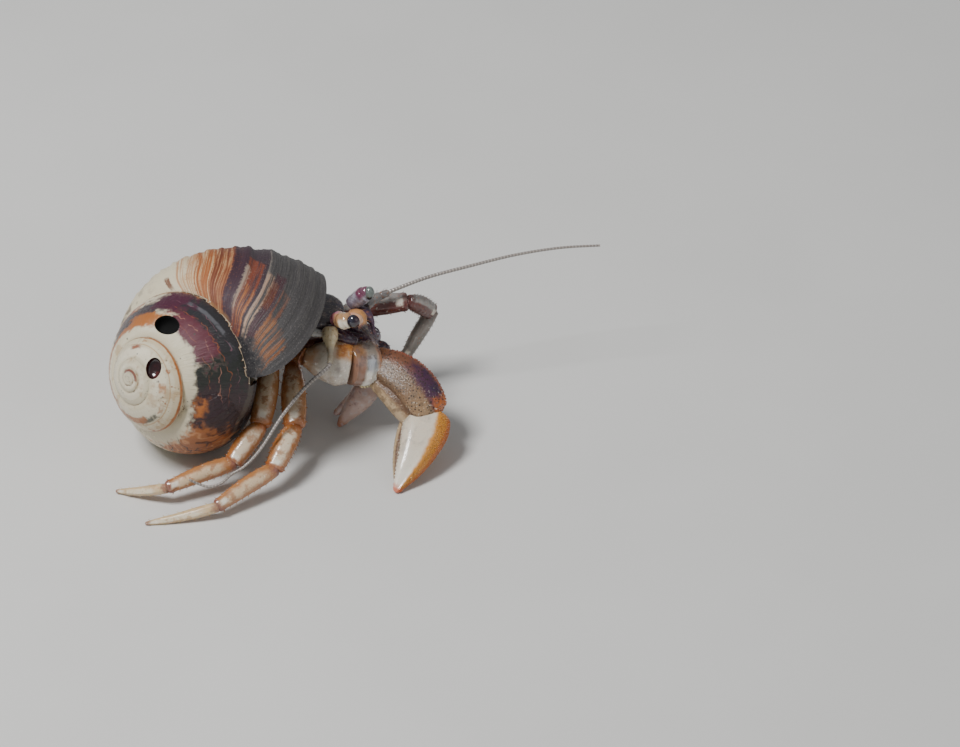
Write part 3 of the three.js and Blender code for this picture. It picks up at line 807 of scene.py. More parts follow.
# Colours over the upper whorls: colour, strength, winding angles and levels between the seams
# where it is full
SPIRE_PATCHES = (
    ("#e9dfc6", 0.8, (-40.0, -0.8), (0.08, 0.5)),
    ("#a05c28", 0.9, (-40.0, 1.2), (0.91, 0.985)),
    ("#b98a58", 0.65, (-6.5, -1.4), (0.6, 0.635)),
    ("#a9622a", 0.9, (-5.2, -3.3), (0.9, 0.96)),
    ("#b07038", 0.8, (-4.5, -4.2), (0.26, 0.5)),
    ("#a0622f", 0.8, (-3.95, -3.8), (0.4, 0.55)),
    ("#3f4030", 0.9, (-3.6, -2.95), (0.4, 0.56)),
    ("#ab6527", 0.9, (-3.25, -2.1), (0.32, 0.56)),
    ("#8c4324", 0.9, (-6.35, -6.0), (0.4, 0.58)),
    ("#7a3020", 0.9, (-19.5, -17.0), (0.3, 0.8)),
    ("#9a7048", 0.5, (-40.0, -6.9), (0.9, 0.96)),
    ("#c8a878", 0.35, (-6.0, -1.0), (0.74, 0.9)),
    ("#a35c2a", 0.9, (-2.3, 0.1), (0.16, 0.3)),
    ("#9c5226", 0.9, (-1.7, -0.2), (0.62, 0.78)),
    ("#2d2433", 0.95, (-0.95, 0.2), (0.28, 0.66)),
    ("#ae6830", 0.95, (-0.3, 0.36), (0.16, 0.42)),
    ("#4c2436", 1.0, (0.0, 0.75), (0.5, 0.96)),
    ("#60303a", 1.0, (0.42, 1.5), (0.24, 0.66)),
    ("#2f2e31", 1.0, (0.5, 1.0), (0.6, 0.985)),
    ("#2c2a2c", 1.0, (0.8, 1.8), (0.6, 1.5)),
    # painted sheen: a grey streak on the whorl above the last one
    ("#77777c", 0.5, (0.5, 1.1), (0.74, 0.8)),
    ("#232520", 1.0, (1.4, 1.9), (0.16, 1.5)),
    ("#301c22", 1.0, (1.75, 2.6), (0.16, 1.5)),
    ("#b0662a", 0.95, (2.0, 2.2), (0.18, 0.3)),
    ("#a35e2b", 0.95, (2.45, 3.4), (0.2, 0.95)),
    ("#241d20", 0.95, (1.2, 3.6), (0.93, 1.6)),
    ("#5d564c", 0.5, (1.5, 2.5), (0.86, 0.94)),
)

# Bands of the last whorl: colour, strength, how far along the growth, place across, streaks
WHORL_BANDS = (
    ("#c2b191", 0.7, (-1.0, 5.6), (-0.1, 1.1), 0.5),
    ("#9a7347", 0.6, (1.5, 6.1), (0.12, 1.1), 0.58),
    ("#6a5040", 0.6, (2.0, 5.6), (0.3, 1.1), 0.64),
    ("#6f3d25", 0.9, (6.2, 6.28), (0.006, 0.045), 0.42),
    ("#b3713c", 0.7, (6.36, 7.0), (-0.1, 1.1), 0.5),
    ("#9c5424", 0.9, (6.6, 7.02), (-0.1, 1.1), 0.46),
    ("#6a3320", 0.9, (6.8, 7.06), (-0.1, 1.1), 0.46),
    ("#3c2430", 1.0, (6.99, 7.15), (-0.1, 1.1), 0.0),
    ("#3a2c34", 1.0, (7.13, 7.35), (-0.1, 1.1), 0.0),
    ("#7c3d28", 0.9, (7.14, 7.3), (-0.1, 0.3), 0.48),
    ("#b5763f", 0.8, (7.18, 7.3), (0.01, 0.12), 0.52),
    ("#434040", 1.0, (7.34, 9.8), (-0.1, 1.1), 0.0),
    ("#c9a184", 0.8, (7.33, 7.41), (0.012, 0.26), 0.5),
    ("#43242c", 0.9, (7.42, 7.52), (0.01, 0.3), 0.4),
    ("#8a5228", 0.9, (7.52, 7.82), (0.02, 0.11), 0.48),
    ("#b98250", 0.7, (7.52, 7.78), (0.03, 0.11), 0.6),
    ("#7c4426", 0.85, (7.4, 7.6), (0.1, 0.24), 0.54),
    ("#77736d", 0.5, (7.34, 8.0), (0.2, 1.1), 0.58),
    ("#2c292b", 0.6, (7.34, 8.0), (0.05, 1.1), 0.6),
    ("#b5a592", 0.6, (7.125, 7.17), (0.015, 0.22), 0.52),
    ("#8f857c", 0.6, (7.325, 7.345), (-0.1, 0.5), 0.5),
    ("#17151a", 0.95, (7.3, 8.0), (-0.1, 0.008), 0.0),
)


def framed(zone, source, window, blur):
    """Ramps that are full inside a window of a source's values."""
    low, high = window
    return [(source, low - blur, low + blur), (source, high + blur, high - blur)] + zone


def shell_material(ground):
    """Old turban shell, made of lime. The worn top whorls are polished and pale as nacre, with
    dark bands in what is left of their outer layer, so they shine softly. The last whorl is chalky
    and slate-coloured, with dull growth wrinkles; the inside and the last whorl's inner side by its seam are
    painted dark as shade."""
    material, tree = fresh_material("weathered turban shell")
    on_spire = [("zone", 1.6, 1.4), ("winding", 3.9, 3.6)]
    on_whorl = [("zone", 0.4, 0.6), ("zone", 1.6, 1.4), ("winding", 3.6, 3.9)]
    under_seam = [("winding", 2.3, 2.7), ("level", 0.14, 0.2)] + on_spire
    old_top = [("winding", -0.4, -0.8)]
    winding = ("winding", 0.9, 1.1)
    across = ("across", 0.05, 0.7)
    band = ("band", 0.06, 0.3)
    layers = []
    for colour, strength, angles, places in SPIRE_PATCHES:
        is_line = places[1] - places[0] < 0.08
        level = ("level", 0.05, 0.9) if is_line else ("level", 0.2, 0.8)
        layers.append((colour, strength, framed(on_spire, winding, angles, 0.12)
                       + framed([], level, places, 0.015 if is_line else 0.04)))
    wavy = ("level", 0.35, 2.6)
    for colour, place in (("#b0603a", 0.34), ("#c98a74", 0.47), ("#a85a30", 0.6), ("#8d5f6c", 0.73)):
        layers.append((colour, 0.6, [
            (wavy, place - 0.011, place), (wavy, place + 0.011, place), (1.2, 0.42, 0.54),
            ("winding", 0.1, 0.4), ("winding", 2.1, 1.8)] + on_spire))
    layers += [
        # fine contour lines, which are drawn a little wider than life so that they show
        ("#3c221c", 0.8, [(("swirls", 3.0, 4.0), 0.1, 0.02)] + under_seam),
        ("#d9a070", 0.6, [(("swirls", 3.0, 4.0), 0.38, 0.49)] + under_seam),
        # pits, green algae, old stains and rust on the top whorls
        ("#45423a", 0.75, [(("dots", 1.1), 0.13, 0.08), ("zone", 1.6, 1.4), (1.5, 0.44, 0.56)]),
        ("#44503a", 0.85, [(0.3, 0.66, 0.71)] + old_top + on_spire),
        ("#b08a5c", 0.5, [(1.6, 0.54, 0.66)] + old_top + on_spire),
        ("#9c5a2c", 0.8, [(0.9, 0.6, 0.68)] + old_top + [("winding", -6.6, -5.8), ("level", 0.3, 0.5)]
         + on_spire),
        # the last whorl turns from tan to rust towards its dark bands
        ("#c9a06e", 0.8, [(("band", 0.5, 1.5), 6.3, 6.75), ("band", 7.1, 7.06)] + on_whorl),
        ("#9a552c", 0.75, [(("band", 0.4, 1.2), 6.7, 7.0), ("band", 7.1, 7.06)] + on_whorl),
    ]
    for colour, strength, bands, places, streaks in WHORL_BANDS:
        ramps = framed(on_whorl, band, bands, 0.012) + framed([], across, places, 0.012)
        if streaks:
            ramps.append((("streaks", 30.0, 2.4), streaks - 0.08, streaks + 0.08))
        layers.append((colour, strength, ramps))
    layers += [
        # mud, grit, specks and algae on the last whorl, the brown line at its seam, and painted shade
        # darkening the inside and the last whorl's inner side by its seam
        ("#5a4a3c", 0.8, [(1.7, 0.5, 0.62), ("band", 6.2, 5.4)] + on_whorl),
        ("#8c8680", 0.4, [(0.14, 0.55, 0.7), ("band", 7.0, 7.3)] + on_whorl),
        ("#7a4a30", 0.5, [(0.25, 0.56, 0.66), ("band", 6.3, 6.6), ("band", 7.1, 7.05)] + on_whorl),
        ("#1c1a1c", 0.5, [(0.45, 0.6, 0.72), ("band", 7.0, 7.4)] + on_whorl),
        ("#6e7a5c", 0.4, [(0.35, 0.64, 0.72), ("band", 7.0, 6.6)] + on_whorl),
        ("#a0764a", 0.6, [(("across", 0.004, 0.4), 0.006, 0.002), ("band", 7.2, 7.0)] + on_whorl),
        # painted shade: the hollow and the last whorl's inner side by its seam (zone 2) are painted near
        # black
        ("#2a211d", 1.0, [("zone", 1.1, 1.35)]),
    ]
    colour = coloured(tree, ground, layers)
    chalky = node(tree, "ShaderNodeMapRange", {
        "Value": measured(tree, "winding"), "From Min": 3.2, "From Max": 6.4, "To Min": 0.2, "To Max": 0.6})
    worn = node(tree, "ShaderNodeMath", {
        0: measured(tree, 0.6), 1: 0.3, 2: -0.14}, operation="MULTIPLY_ADD")
    rough = node(tree, "ShaderNodeMath", {0: chalky.outputs[0], 1: worn.outputs[0]}, operation="ADD")
    fine = node(tree, "ShaderNodeBump", {
        "Height": measured(tree, ("streaks", 34.0, 2.2)), "Distance": 0.2 * MM, "Strength": 0.7})
    grit = node(tree, "ShaderNodeBump", {
        "Height": measured(tree, ("noise", 0.16, 4.0)), "Distance": 0.03 * MM, "Strength": 0.6,
        "Normal": fine.outputs[0]})
    body = node(tree, "ShaderNodeBsdfPrincipled", {
        "Base Color": colour, "Roughness": rough.outputs[0], "Normal": grit.outputs[0], "IOR": 1.52,
        "Subsurface Weight": 0.05, "Subsurface Radius": (0.5, 0.4, 0.3), "Subsurface Scale": 0.5 * MM})
    node(tree, "ShaderNodeOutputMaterial", {"Surface": body.outputs[0]})
    return material


# ---------------------------------------------------------------------------
# The crab's measures: joints from the body outwards, then half widths and thicknesses
# ---------------------------------------------------------------------------

BODY_CENTRE = np.array([-17.8, -6.9, 14.2])
BODY_HEADING = math.radians(-30)


def on_body(forward, left, above):
    """A point by its place on the crab's trunk."""
    ahead = np.array([math.cos(BODY_HEADING), math.sin(BODY_HEADING), 0.0])
    aside = np.array([-math.sin(BODY_HEADING), math.cos(BODY_HEADING), 0.0])
    return BODY_CENTRE + forward * ahead + left * aside + above * UP


def segment(start, end, across, flatness=1.0, bow=0.0, rise=UP, begin=0.0, stop=1.0, **more):
    """A limb's segment between two joints, bowed upwards by bow."""
    start, end = np.array(start, float), np.array(end, float)
    middle = (start + end) / 2 + bow * np.array(rise, float)
    path = [start + (end - start) * begin, middle, start + (end - start) * stop]
    across = np.array(across, float)
    return limb(path, across, across * flatness, **more)


LEG_JOINTS = {  # size, then the joints from the body to the tip
    "right_leg2": (1.0, [-20.3, -8.5, 8.1], [-19.8, -17, 5.2], [-22, -21.5, 3], [-28, -26, 1.4],
                   [-35.5, -27.3, 0.2]),
    "right_leg3": (0.97, [-22.3, -8.9, 8.8], [-23.5, -17.2, 5.5], [-26.4, -20.6, 3.2],
                   [-33.4, -23.6, 2.1], [-38.9, -21.6, 0.2]),
    "left_leg2": (0.86, [-15.6, -3.7, 10.7], [-7.7, -3.2, 12], [-5.2, -1.6, 9.5], [-8.2, -2.4, 4],
                  [-11.6, -3, 0.12]),
    "left_leg3": (0.9, [-17, -3.5, 9], [-14.2, 0.2, 6.6], [-16, 3, 3.4], [-20.4, 5.3, 1.6],
                  [-25.6, 6.6, 0.2]),
}
LEG_SEGMENTS = (  # name, half widths, flatness, bow
    ("merus", (0.7, 1.1, 1.36, 1.34, 1.12), 0.74, 0.3),
    ("carpus", (0.86, 1.12, 1.22, 1.16, 1.0), 0.74, 0.25),
    ("propodus", (0.82, 0.96, 0.95, 0.84, 0.68), 0.74, 0.15),
    ("dactyl", (0.56, 0.6, 0.52, 0.4, 0.2), 0.85, -0.2),
)
SHELL_LEGS = {  # path on the body, radii
    "right_leg4": ([[-1.4, -2.7, -3.6], [-2.8, -4.3, -4.2], [-1.8, -4.9, -3.0]], (0.55, 0.6, 0.55, 0.42)),
    "left_leg4": ([[-1.4, 2.7, -3.5], [-3.2, 3.4, -3.1], [-2.3, 4.1, -2.6]], (0.55, 0.6, 0.55, 0.42)),
    "right_leg5": ([[-2.9, -1, 0.2], [-4.2, -1.5, 0.8], [-3.2, -1.9, 1.3]], (0.4, 0.4, 0.32)),
    "left_leg5": ([[-2.9, 0.9, 0.2], [-4.2, 1.2, 0.8], [-3.2, 1.7, 0.7]], (0.4, 0.4, 0.32)),
}
FEELERS = {  # path, radii
    "right_antenna_base": ([[-16.05, -10.2, 13.3], [-16, -12.2, 12.6], [-15.95, -13.4, 12.1],
                            [-16, -14.4, 11.7]], (0.86, 0.84, 0.46, 0.34, 0.3)),
    "left_antenna_base": ([[-12.4, -5.9, 13.3], [-11.2, -4.8, 13.6], [-9.8, -4.3, 14]],
                          (0.6, 0.55, 0.45, 0.36)),
    "right_antennule": ([[-14, -8.4, 13.7], [-13.1, -8.9, 13.9], [-12.5, -9.7, 13.4], [-11.9, -10.5, 12.8],
                         [-10.8, -11.4, 12]], (0.7, 0.9, 0.34, 0.16, 0.1)),
    "left_antennule": ([[-13.2, -6.9, 13.3], [-12.2, -7.5, 13.2], [-11.6, -8.2, 12.7], [-11.3, -9.3, 11.9]],
                       (0.7, 0.78, 0.42, 0.2, 0.12)),
    # the right one is drawn large, so that its painted-shade plates fill the dark gap in front of the claw's
    # wrist
    "right_maxilliped": ([[-15.9, -9, 12.2], [-14.4, -9.8, 11.9], [-13.2, -9.8, 11.2]],
                         (0.7, 0.85, 0.75, 0.45)),
    "left_maxilliped": ([[-14.9, -7.4, 12.1], [-13.3, -8, 11.9], [-12.3, -7.9, 11.2]],
                        (0.6, 0.65, 0.5, 0.35)),
}
LASHES = {  # paths
    "right_antenna": [[-16.0, -14.3, 11.75], [-16.3, -14.8, 11.5], [-18.6, -16.5, 10.2], [-21, -18.5, 8],
                      [-23.2, -20.9, 5.5], [-24.9, -22.5, 4.3], [-26.4, -23.1, 3.6], [-27.3, -24, 3.2],
                      [-28.6, -24.4, 2.9], [-29.8, -24.2, 3.1], [-30.8, -24.2, 3.7]],
    "left_antenna": [[-10.0, -4.3, 13.95], [-5.8, -3, 15], [-0.8, -1.8, 15.8], [3.8, -0.7, 16.4],
                     [8.6, 0.2, 16.7], [13, 0.8, 16.6]],
}
EYES = {  # stalk's path and radii, its rim's centre and radii, the cornea's centre and radii
    "right": ([[-15.6, -9.4, 14.2], [-14.5, -10.6, 14.7], [-13.75, -11.05, 15]], (0.7, 0.84, 0.86, 0.78),
              [-13.3, -11.0, 15.06], (0.84, 0.62, 0.8), [-13.5, -11.3, 15.12], (0.74, 0.64, 0.78)),
    "left": ([[-14, -7, 14.2], [-13.1, -7.1, 15.1], [-12.2, -7.3, 16]], (0.75, 0.86, 0.9, 0.88),
             [-12.2, -7.25, 15.95], (0.78, 0.66, 0.8), [-11.85, -7.45, 16.1], (0.56, 0.6, 0.8)),
}


# ---------------------------------------------------------------------------
# Materials of the crab
# ---------------------------------------------------------------------------


def leg_material(name, ground, joint, middle, tinge, clear=0.15, below="#b27f52",
                 under=("front", 0.1, -0.25)):
    """Horn of the walking legs: smoother and glossier than the claw, orange at the joints and
    along the edges, pale between, with freckles and a thin white line beside each rim."""
    return chitin(name, ground, [
        (middle, 0.88, [(("along", 0.3, 0.9), 0.1, 0.32), (("side", 0.9, 0.9), 0.7, 0.2),
                        (("side", 0.9, 0.9), -0.8, -0.3)]),
        (tinge, 0.75, [(1.3, 0.52, 0.64)]),
        (below, 0.9, [((under[0], 0.3, 0.8), under[1], under[2])]),
        (joint, 0.85, [(("along", 0.2, 0.5), 0.86, 0.98)]),
        (joint, 0.8, [(("along", 0.2, 0.5), 0.14, 0.04)]),
        ("#f3ead9", 0.85, [(("along", 0.1, 0.4), 0.8, 0.86), (("along", 0.1, 0.4), 0.95, 0.9),
                           (("side", 0.3, 0.4), 0.5, 0.2), (("side", 0.3, 0.4), -0.5, -0.2)]),
        ("#b0602c", 0.75, [(0.2, 0.62, 0.68), ("along", 0.06, 0.16)]),
        ("#5b2f3a", 0.5, [(0.5, 0.64, 0.76)]),
        ("#f4ecdc", 0.6, [(0.28, 0.64, 0.72)]),
    ], rough=0.22, clear=clear)


# ---------------------------------------------------------------------------
# Settings and operators
# ---------------------------------------------------------------------------


CAMERA_LENS = 204.5
CAMERA_PLACE = (0.01333, -0.47504, 0.3527)  # metres
CAMERA_TILT = math.radians(54)


class HermitShellSettings(bpy.types.PropertyGroup):
    ground: bpy.props.FloatVectorProperty(
        name="Ground Colour", description="Colour of the bare shell under its bands and stains",
        default=linear("#d9ceb2"), size=4, min=0, max=1, subtype="COLOR")
    sharp: bpy.props.FloatProperty(
        name="Sharp Edges", description="Edges that turn more than this stay crisp",
        default=math.radians(50), min=0, max=math.pi, subtype="ANGLE")


class HermitLimbSettings(bpy.types.PropertyGroup):
    rings: bpy.props.IntProperty(
        name="Rings", description="Rings along each segment of a limb", default=44, min=12, max=96)
    sides: bpy.props.IntProperty(
        name="Sides", description="Points round each ring of a limb", default=32, min=12, max=64)


class HermitLashSettings(bpy.types.PropertyGroup):
    bead: bpy.props.FloatProperty(
        name="Bead Length", description="Length of one bead of an antenna",
        default=0.00036, min=0.0002, max=0.002, unit="LENGTH")
    root: bpy.props.FloatProperty(
        name="Root Radius", description="Radius of an antenna at its root",
        default=0.00022, min=0.0001, max=0.001, unit="LENGTH")
    tip: bpy.props.FloatProperty(
        name="Tip Radius", description="Radius of an antenna at its tip",
        default=0.00013, min=0.00005, max=0.001, unit="LENGTH")


class HermitStageSettings(bpy.types.PropertyGroup):
    surroundings: bpy.props.FloatVectorProperty(
        name="Surroundings", description="Colour of the soft light from all round",
        default=linear("#e4e7ea"), size=4, min=0, max=1, subtype="COLOR")
    key: bpy.props.FloatProperty(
        name="Key Light", description="Strength of the large soft light", default=1.6, min=0, unit="POWER")
    fill: bpy.props.FloatProperty(
        name="Fill Light", description="Strength of the light from the other side",
        default=0.16, min=0, unit="POWER")


class Maker(bpy.types.Operator):
    """Shared by the makers: a failure stops the script with its own message"""
    bl_options = {"REGISTER", "UNDO"}

    def execute(self, context):
        self.make(context.scene)
        return {"FINISHED"}


class HERMIT_OT_add_shell(Maker):
    """Adds the turban shell with its two drill holes"""
    bl_idname = "hermit.add_shell"
    bl_label = "Add Shell"

    def make(self, scene):
        surface = shell_surface()
        shell = piece("turban_shell", surface, shell_material(scene.hermit_shell.ground), ["shell"],
                      sharp=math.degrees(scene.hermit_shell.sharp))
        # the deep hole's wall is matt and painted near black, a painted shadow for the dark depth of the
        # bore; the shallow one is wet and glints
        deep = chitin("shadowed drill hole", "#020202", [
            ("#0c0908", 0.4, [(0.5, 0.5, 0.7)]),
        ], 0.95, coat=0, clear=0)
        red = chitin("wet dark red pit", "#2a0d10", [("#5a1d1a", 0.8, [(0.9, 0.5, 0.65)])], 0.12, coat=1)
        middles = np.array([surface["points"][list(face)].mean(axis=0) for face in surface["faces"]])
        for index, (pit, material) in enumerate(((DEEP_PIT, deep), (RED_PIT, red)), 1):
            shell.data.materials.append(material)
            for face in np.flatnonzero(within_bore(middles, pit)):
                shell.data.polygons[int(face)].material_index = index


class HERMIT_OT_add_soft_body(Maker):
    """Adds the seamless soft body: the thorax and the coiled abdomen inside the shell"""
    bl_idname = "hermit.add_soft_body"
    bl_label = "Add Soft Body"

    def make(self, scene):
        thorax = limb([on_body(-3.4, 0, -3.6), on_body(0, 0, -3.6), on_body(2.3, 0, -3.2)],
                      (1.9, 2.5, 2.5, 2.1, 1.2), (1.6, 2, 2, 1.7, 1), face=UP, blunt=(0.12, 0.12))
        abdomen = limb([on_body(-2.6, -0.2, -3.3), [-24.2, -6.6, 12.6], [-26.6, -5.6, 13], [-29.2, -5, 12],
                        [-31, -5.6, 10]], (1.5, 2.4, 2.6, 2.1, 1.1), face=UP, blunt=(0.05, 0.1),
                       relief=lambda along, x, y: 0.06 * np.sin(along * 60) * np.sin(along * math.pi))
        whole = together([limb_surface(thorax), limb_surface(abdomen)])
        skin = bpy.data.objects.new("soft_body", to_mesh("soft_body", whole))
        scene.collection.objects.link(skin)
        remesh = skin.modifiers.new("fuse", "REMESH")
        remesh.mode = "VOXEL"
        remesh.voxel_size = 0.14 * MM
        remesh.use_smooth_shade = True
        skin.data = evaluated(skin, "soft_body")
        skin.modifiers.clear()
        skin.data.materials.clear()
        # bare skin without lime: soft, moist and clearer than the plates, so it looks fleshy
        skin.data.materials.append(chitin("thin skin of the abdomen", "#8d5a4c", [
            ("#5b3442", 0.8, [(1.4, 0.45, 0.62)]),
            ("#c99a80", 0.6, [(0.4, 0.55, 0.7)]),
        ], rough=0.3, grain=0.2, coat=0.8, clear=0.3))
        skin.data.shade_smooth()
        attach(skin, BODY)
        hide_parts("thorax", "abdomen")


class HERMIT_OT_add_shield(Maker):
    """Adds the hard shield over the front of the body"""
    bl_idname = "hermit.add_shield"
    bl_label = "Add Shield"

    def make(self, scene):
        def relief(along, x, y):
            groove = -0.12 * hump(along - 0.12 * x**2, 0.38, 0.03)
            beak = 0.1 * hump(x, 0, 0.3) * smoothstep(along, 0.7, 1)
            return (groove + beak + 0.02 * np.sin(along * 70 + 3 * x)) * (y > 0)

        shape = limb([on_body(-3.4, 0, -1.2), on_body(0, 0, -0.6), on_body(3.4, 0, -0.95)],
                     (2.3, 3.1, 3.05, 2.7, 1.4), (0.5, 0.7, 0.75, 0.65, 0.4), face=UP,
                     blunt=(0.08, 0.16), square=2.6, relief=relief)
        # a thick, smooth plate: its broad glints break up over grey and brown blotches
        material = chitin("mottled shield", "#4d4244", [
            ("#33293a", 0.8, [(1.1, 0.46, 0.6)]),
            ("#7d6b64", 0.8, [(0.6, 0.54, 0.66)]),
            ("#a3968a", 0.7, [(0.3, 0.6, 0.68)]),
        ], rough=0.25)
        flank = limb([[-19.2, -10.0, 13.05], [-17.8, -10.35, 13.0], [-16.5, -10.4, 12.8]],
                     (0.35, 0.5, 0.3), face=UP)
        # a small lime-rich plate, which looks like wet porcelain
        pale = chitin("pale flank plate", "#a9a6a0", [("#77716d", 0.7, [(0.5, 0.5, 0.65)])], rough=0.2)
        piece("shield", limb_surface(shape), material, ["shield"])
        piece("flank_plate", limb_surface(flank, 24, 20), pale, ["shield"])


class HERMIT_OT_add_right_claw(Maker):
    """Adds the large claw: arm segments, the palm with its fixed finger, and the moving finger"""
    bl_idname = "hermit.add_right_claw"
    bl_label = "Add Right Claw"

    def make(self, scene):
        hip, thigh, elbow = [-21, -8.9, 10.3], [-18.7, -11, 10.2], [-13.8, -11.2, 9.3]
        wrist, hinge, tip = [-11.7, -9.8, 8.6], [-5.6, -14.3, 4.5], [-8.8, -21.9, 0.24]
        rings, sides = scene.hermit_limbs.rings, scene.hermit_limbs.sides

        ischium = segment(hip, thigh, (0.8, 1, 1.05), 0.9)
        # thin joint skin: light passes into it and it glows brown
        joint = chitin("clear brown joint", "#7c4a2c", [("#b98252", 0.7, [(0.5, 0.5, 0.65)])], clear=0.4)
        piece("right_claw_ischium", limb_surface(ischium, rings, sides), joint,
              ["right_claw_ischium"])

        # the smoothest shell of the crab: bluish white with orange edges and crisp wet highlights
        arm = chitin("pale claw arm", "#cfc6b8", [
            ("#a8794e", 0.85, [(("along", 0.25, 0.9), 0.4, 0.12)]),
            ("#b0742c", 0.95, [(("along", 0.2, 0.8), 0.5, 0.7), (("side", 0.3, 0.7), 0.0, -0.35)]),
            ("#8a4a20", 0.7, [(("along", 0.2, 0.6), 0.6, 0.75), (("side", 0.3, 0.7), -0.1, -0.5),
                              (0.5, 0.45, 0.58)]),
            ("#a89a94", 0.5, [(0.6, 0.5, 0.62), (("side", 0.4, 0.7), -0.2, 0.2)]),
            ("#b7a48c", 0.6, [(0.8, 0.52, 0.64)]),
            ("#f7f3ea", 0.7, [(0.4, 0.56, 0.7), (("side", 0.4, 0.7), -0.3, 0.2)]),
        ], rough=0.14, coat=1, grain=0.5)
        merus = segment(thigh, elbow, (1, 1.75, 2.3, 2.5, 2.1), 0.75, begin=-0.05,
                        relief=lambda along, x, y:
                        0.05 * hump(along, 0.95, 0.03) + 0.03 * np.sin(along * 17 + 2 * x))
        piece("right_claw_merus", limb_surface(merus, rings, sides), arm, ["right_claw_merus"])

        carpus = segment(elbow, wrist, (2.1, 2.45, 2.4), 0.8, begin=-0.18, stop=1.1,
                         relief=lambda along, x, y:
                         0.08 * hump(along, 0.85, 0.06) + 0.03 * np.sin(along * 22 + x * 4) * (y > 0))
        edge = studs(carpus, np.linspace(0.4, 0.85, 5), np.full(5, 0.05), 0.12, 1.9, 0.5)
        edge["marks"]["side"] += 0.3
        a, t = sown(3, (10, 6), (0.2, 0.9), (0.3, math.pi - 0.1), 1.0)
        spots = studs(carpus, a, t, 0.06, 1.2, 0.4)
        # as smooth as the arm, in bands of brown and blue-grey, with cream-tipped grains
        wrist_shell = chitin("banded claw wrist", "#94877a", [
            ("#8a6450", 0.95, [(("along", 0.15, 0.7), 0.45, 0.25)]),
            ("#86603c", 0.8, [(("along", 0.15, 0.7), 0.5, 0.3), (("side", 0.4, 0.7), -0.1, -0.5)]),
            ("#a9adb2", 0.85, [(("along", 0.1, 0.5), 0.34, 0.44), (("along", 0.1, 0.5), 0.8, 0.7),
                               (("side", 0.4, 0.7), -0.4, -0.05)]),
            ("#efe9dc", 0.95, [(("side", 0.4, 0.8), 0.2, 0.6), (("along", 0.1, 0.5), 0.25, 0.4)]),
            ("#b5764a", 0.8, [(("along", 0.15, 0.6), 0.75, 0.9)]),
            ("#5f4a46", 0.6, [(0.9, 0.5, 0.62), (("side", 0.3, 0.7), 0.3, 0.0)]),
            ("#ead9a0", 0.9, [("side", 1.05, 1.15)]),
        ], rough=0.16, coat=1)
        piece("right_claw_carpus", together([limb_surface(carpus, rings, sides), spots, edge]), wrist_shell,
              ["right_claw_carpus"])

        self.make_palm(wrist, hinge, rings, sides)
        self.make_finger(hinge, tip, rings, sides)

    def make_palm(self, wrist, hinge, rings, sides):
        def relief(along, x, y):
            above = smoothstep(y, 0.0, 0.3)
            middle = 0.66 - 0.14 * np.sin(math.pi * along)
            furrow = -0.26 * hump(x, middle, 0.1) * smoothstep(along, 0.08, 0.25)
            swell = 0.1 * hump(x, middle - 0.3, 0.16) + 0.12 * hump(x, 0.95, 0.15)
            serrate = (0.05 + 0.03 * np.sin(along * 90)) * smoothstep(-x, 0.9, 0.99)
            return (furrow + swell) * above + serrate

        palm = segment(wrist, hinge, (1.6, 2.5, 2.95, 2.9, 2.3), 0.66, 0.8, (0.7, 0.3, 0.6), begin=-0.06,
                       stop=1.06, square=2.2, relief=relief, blunt=(0.04, 0.12))
        fixed = limb([[-7.2, -13, 4.1], [-8.45, -16.8, 2.5], [-8.95, -21.0, 0.8]],
                     (1, 1, 0.8, 0.6, 0.3), (0.9, 0.8, 0.65, 0.5, 0.3), blunt=(0.1, 0.06))
        skin = carved(limb_surface(palm, rings + 30, sides + 32), [
            ("UNION", limb_surface(fixed, rings, sides))])
        a, t = sown(5, (16, 26), (0.06, 0.98), (0.75, math.pi - 0.05), 0.9)
        dots = studs(palm, a, t, 0.055, 0.8, 0.3)
        a, t = sown(6, (4, 34), (0.04, 1.0), (math.pi - 0.3, math.pi + 0.3), 0.7)
        margin = studs(palm, a, t, 0.085, 1.2, 0.4)
        a, t = sown(8, (5, 16), (0.1, 0.92), (0.1, math.pi - 0.1), 0.7)
        teeth = studs(fixed, a, t, 0.08, 1.0, 0.3)
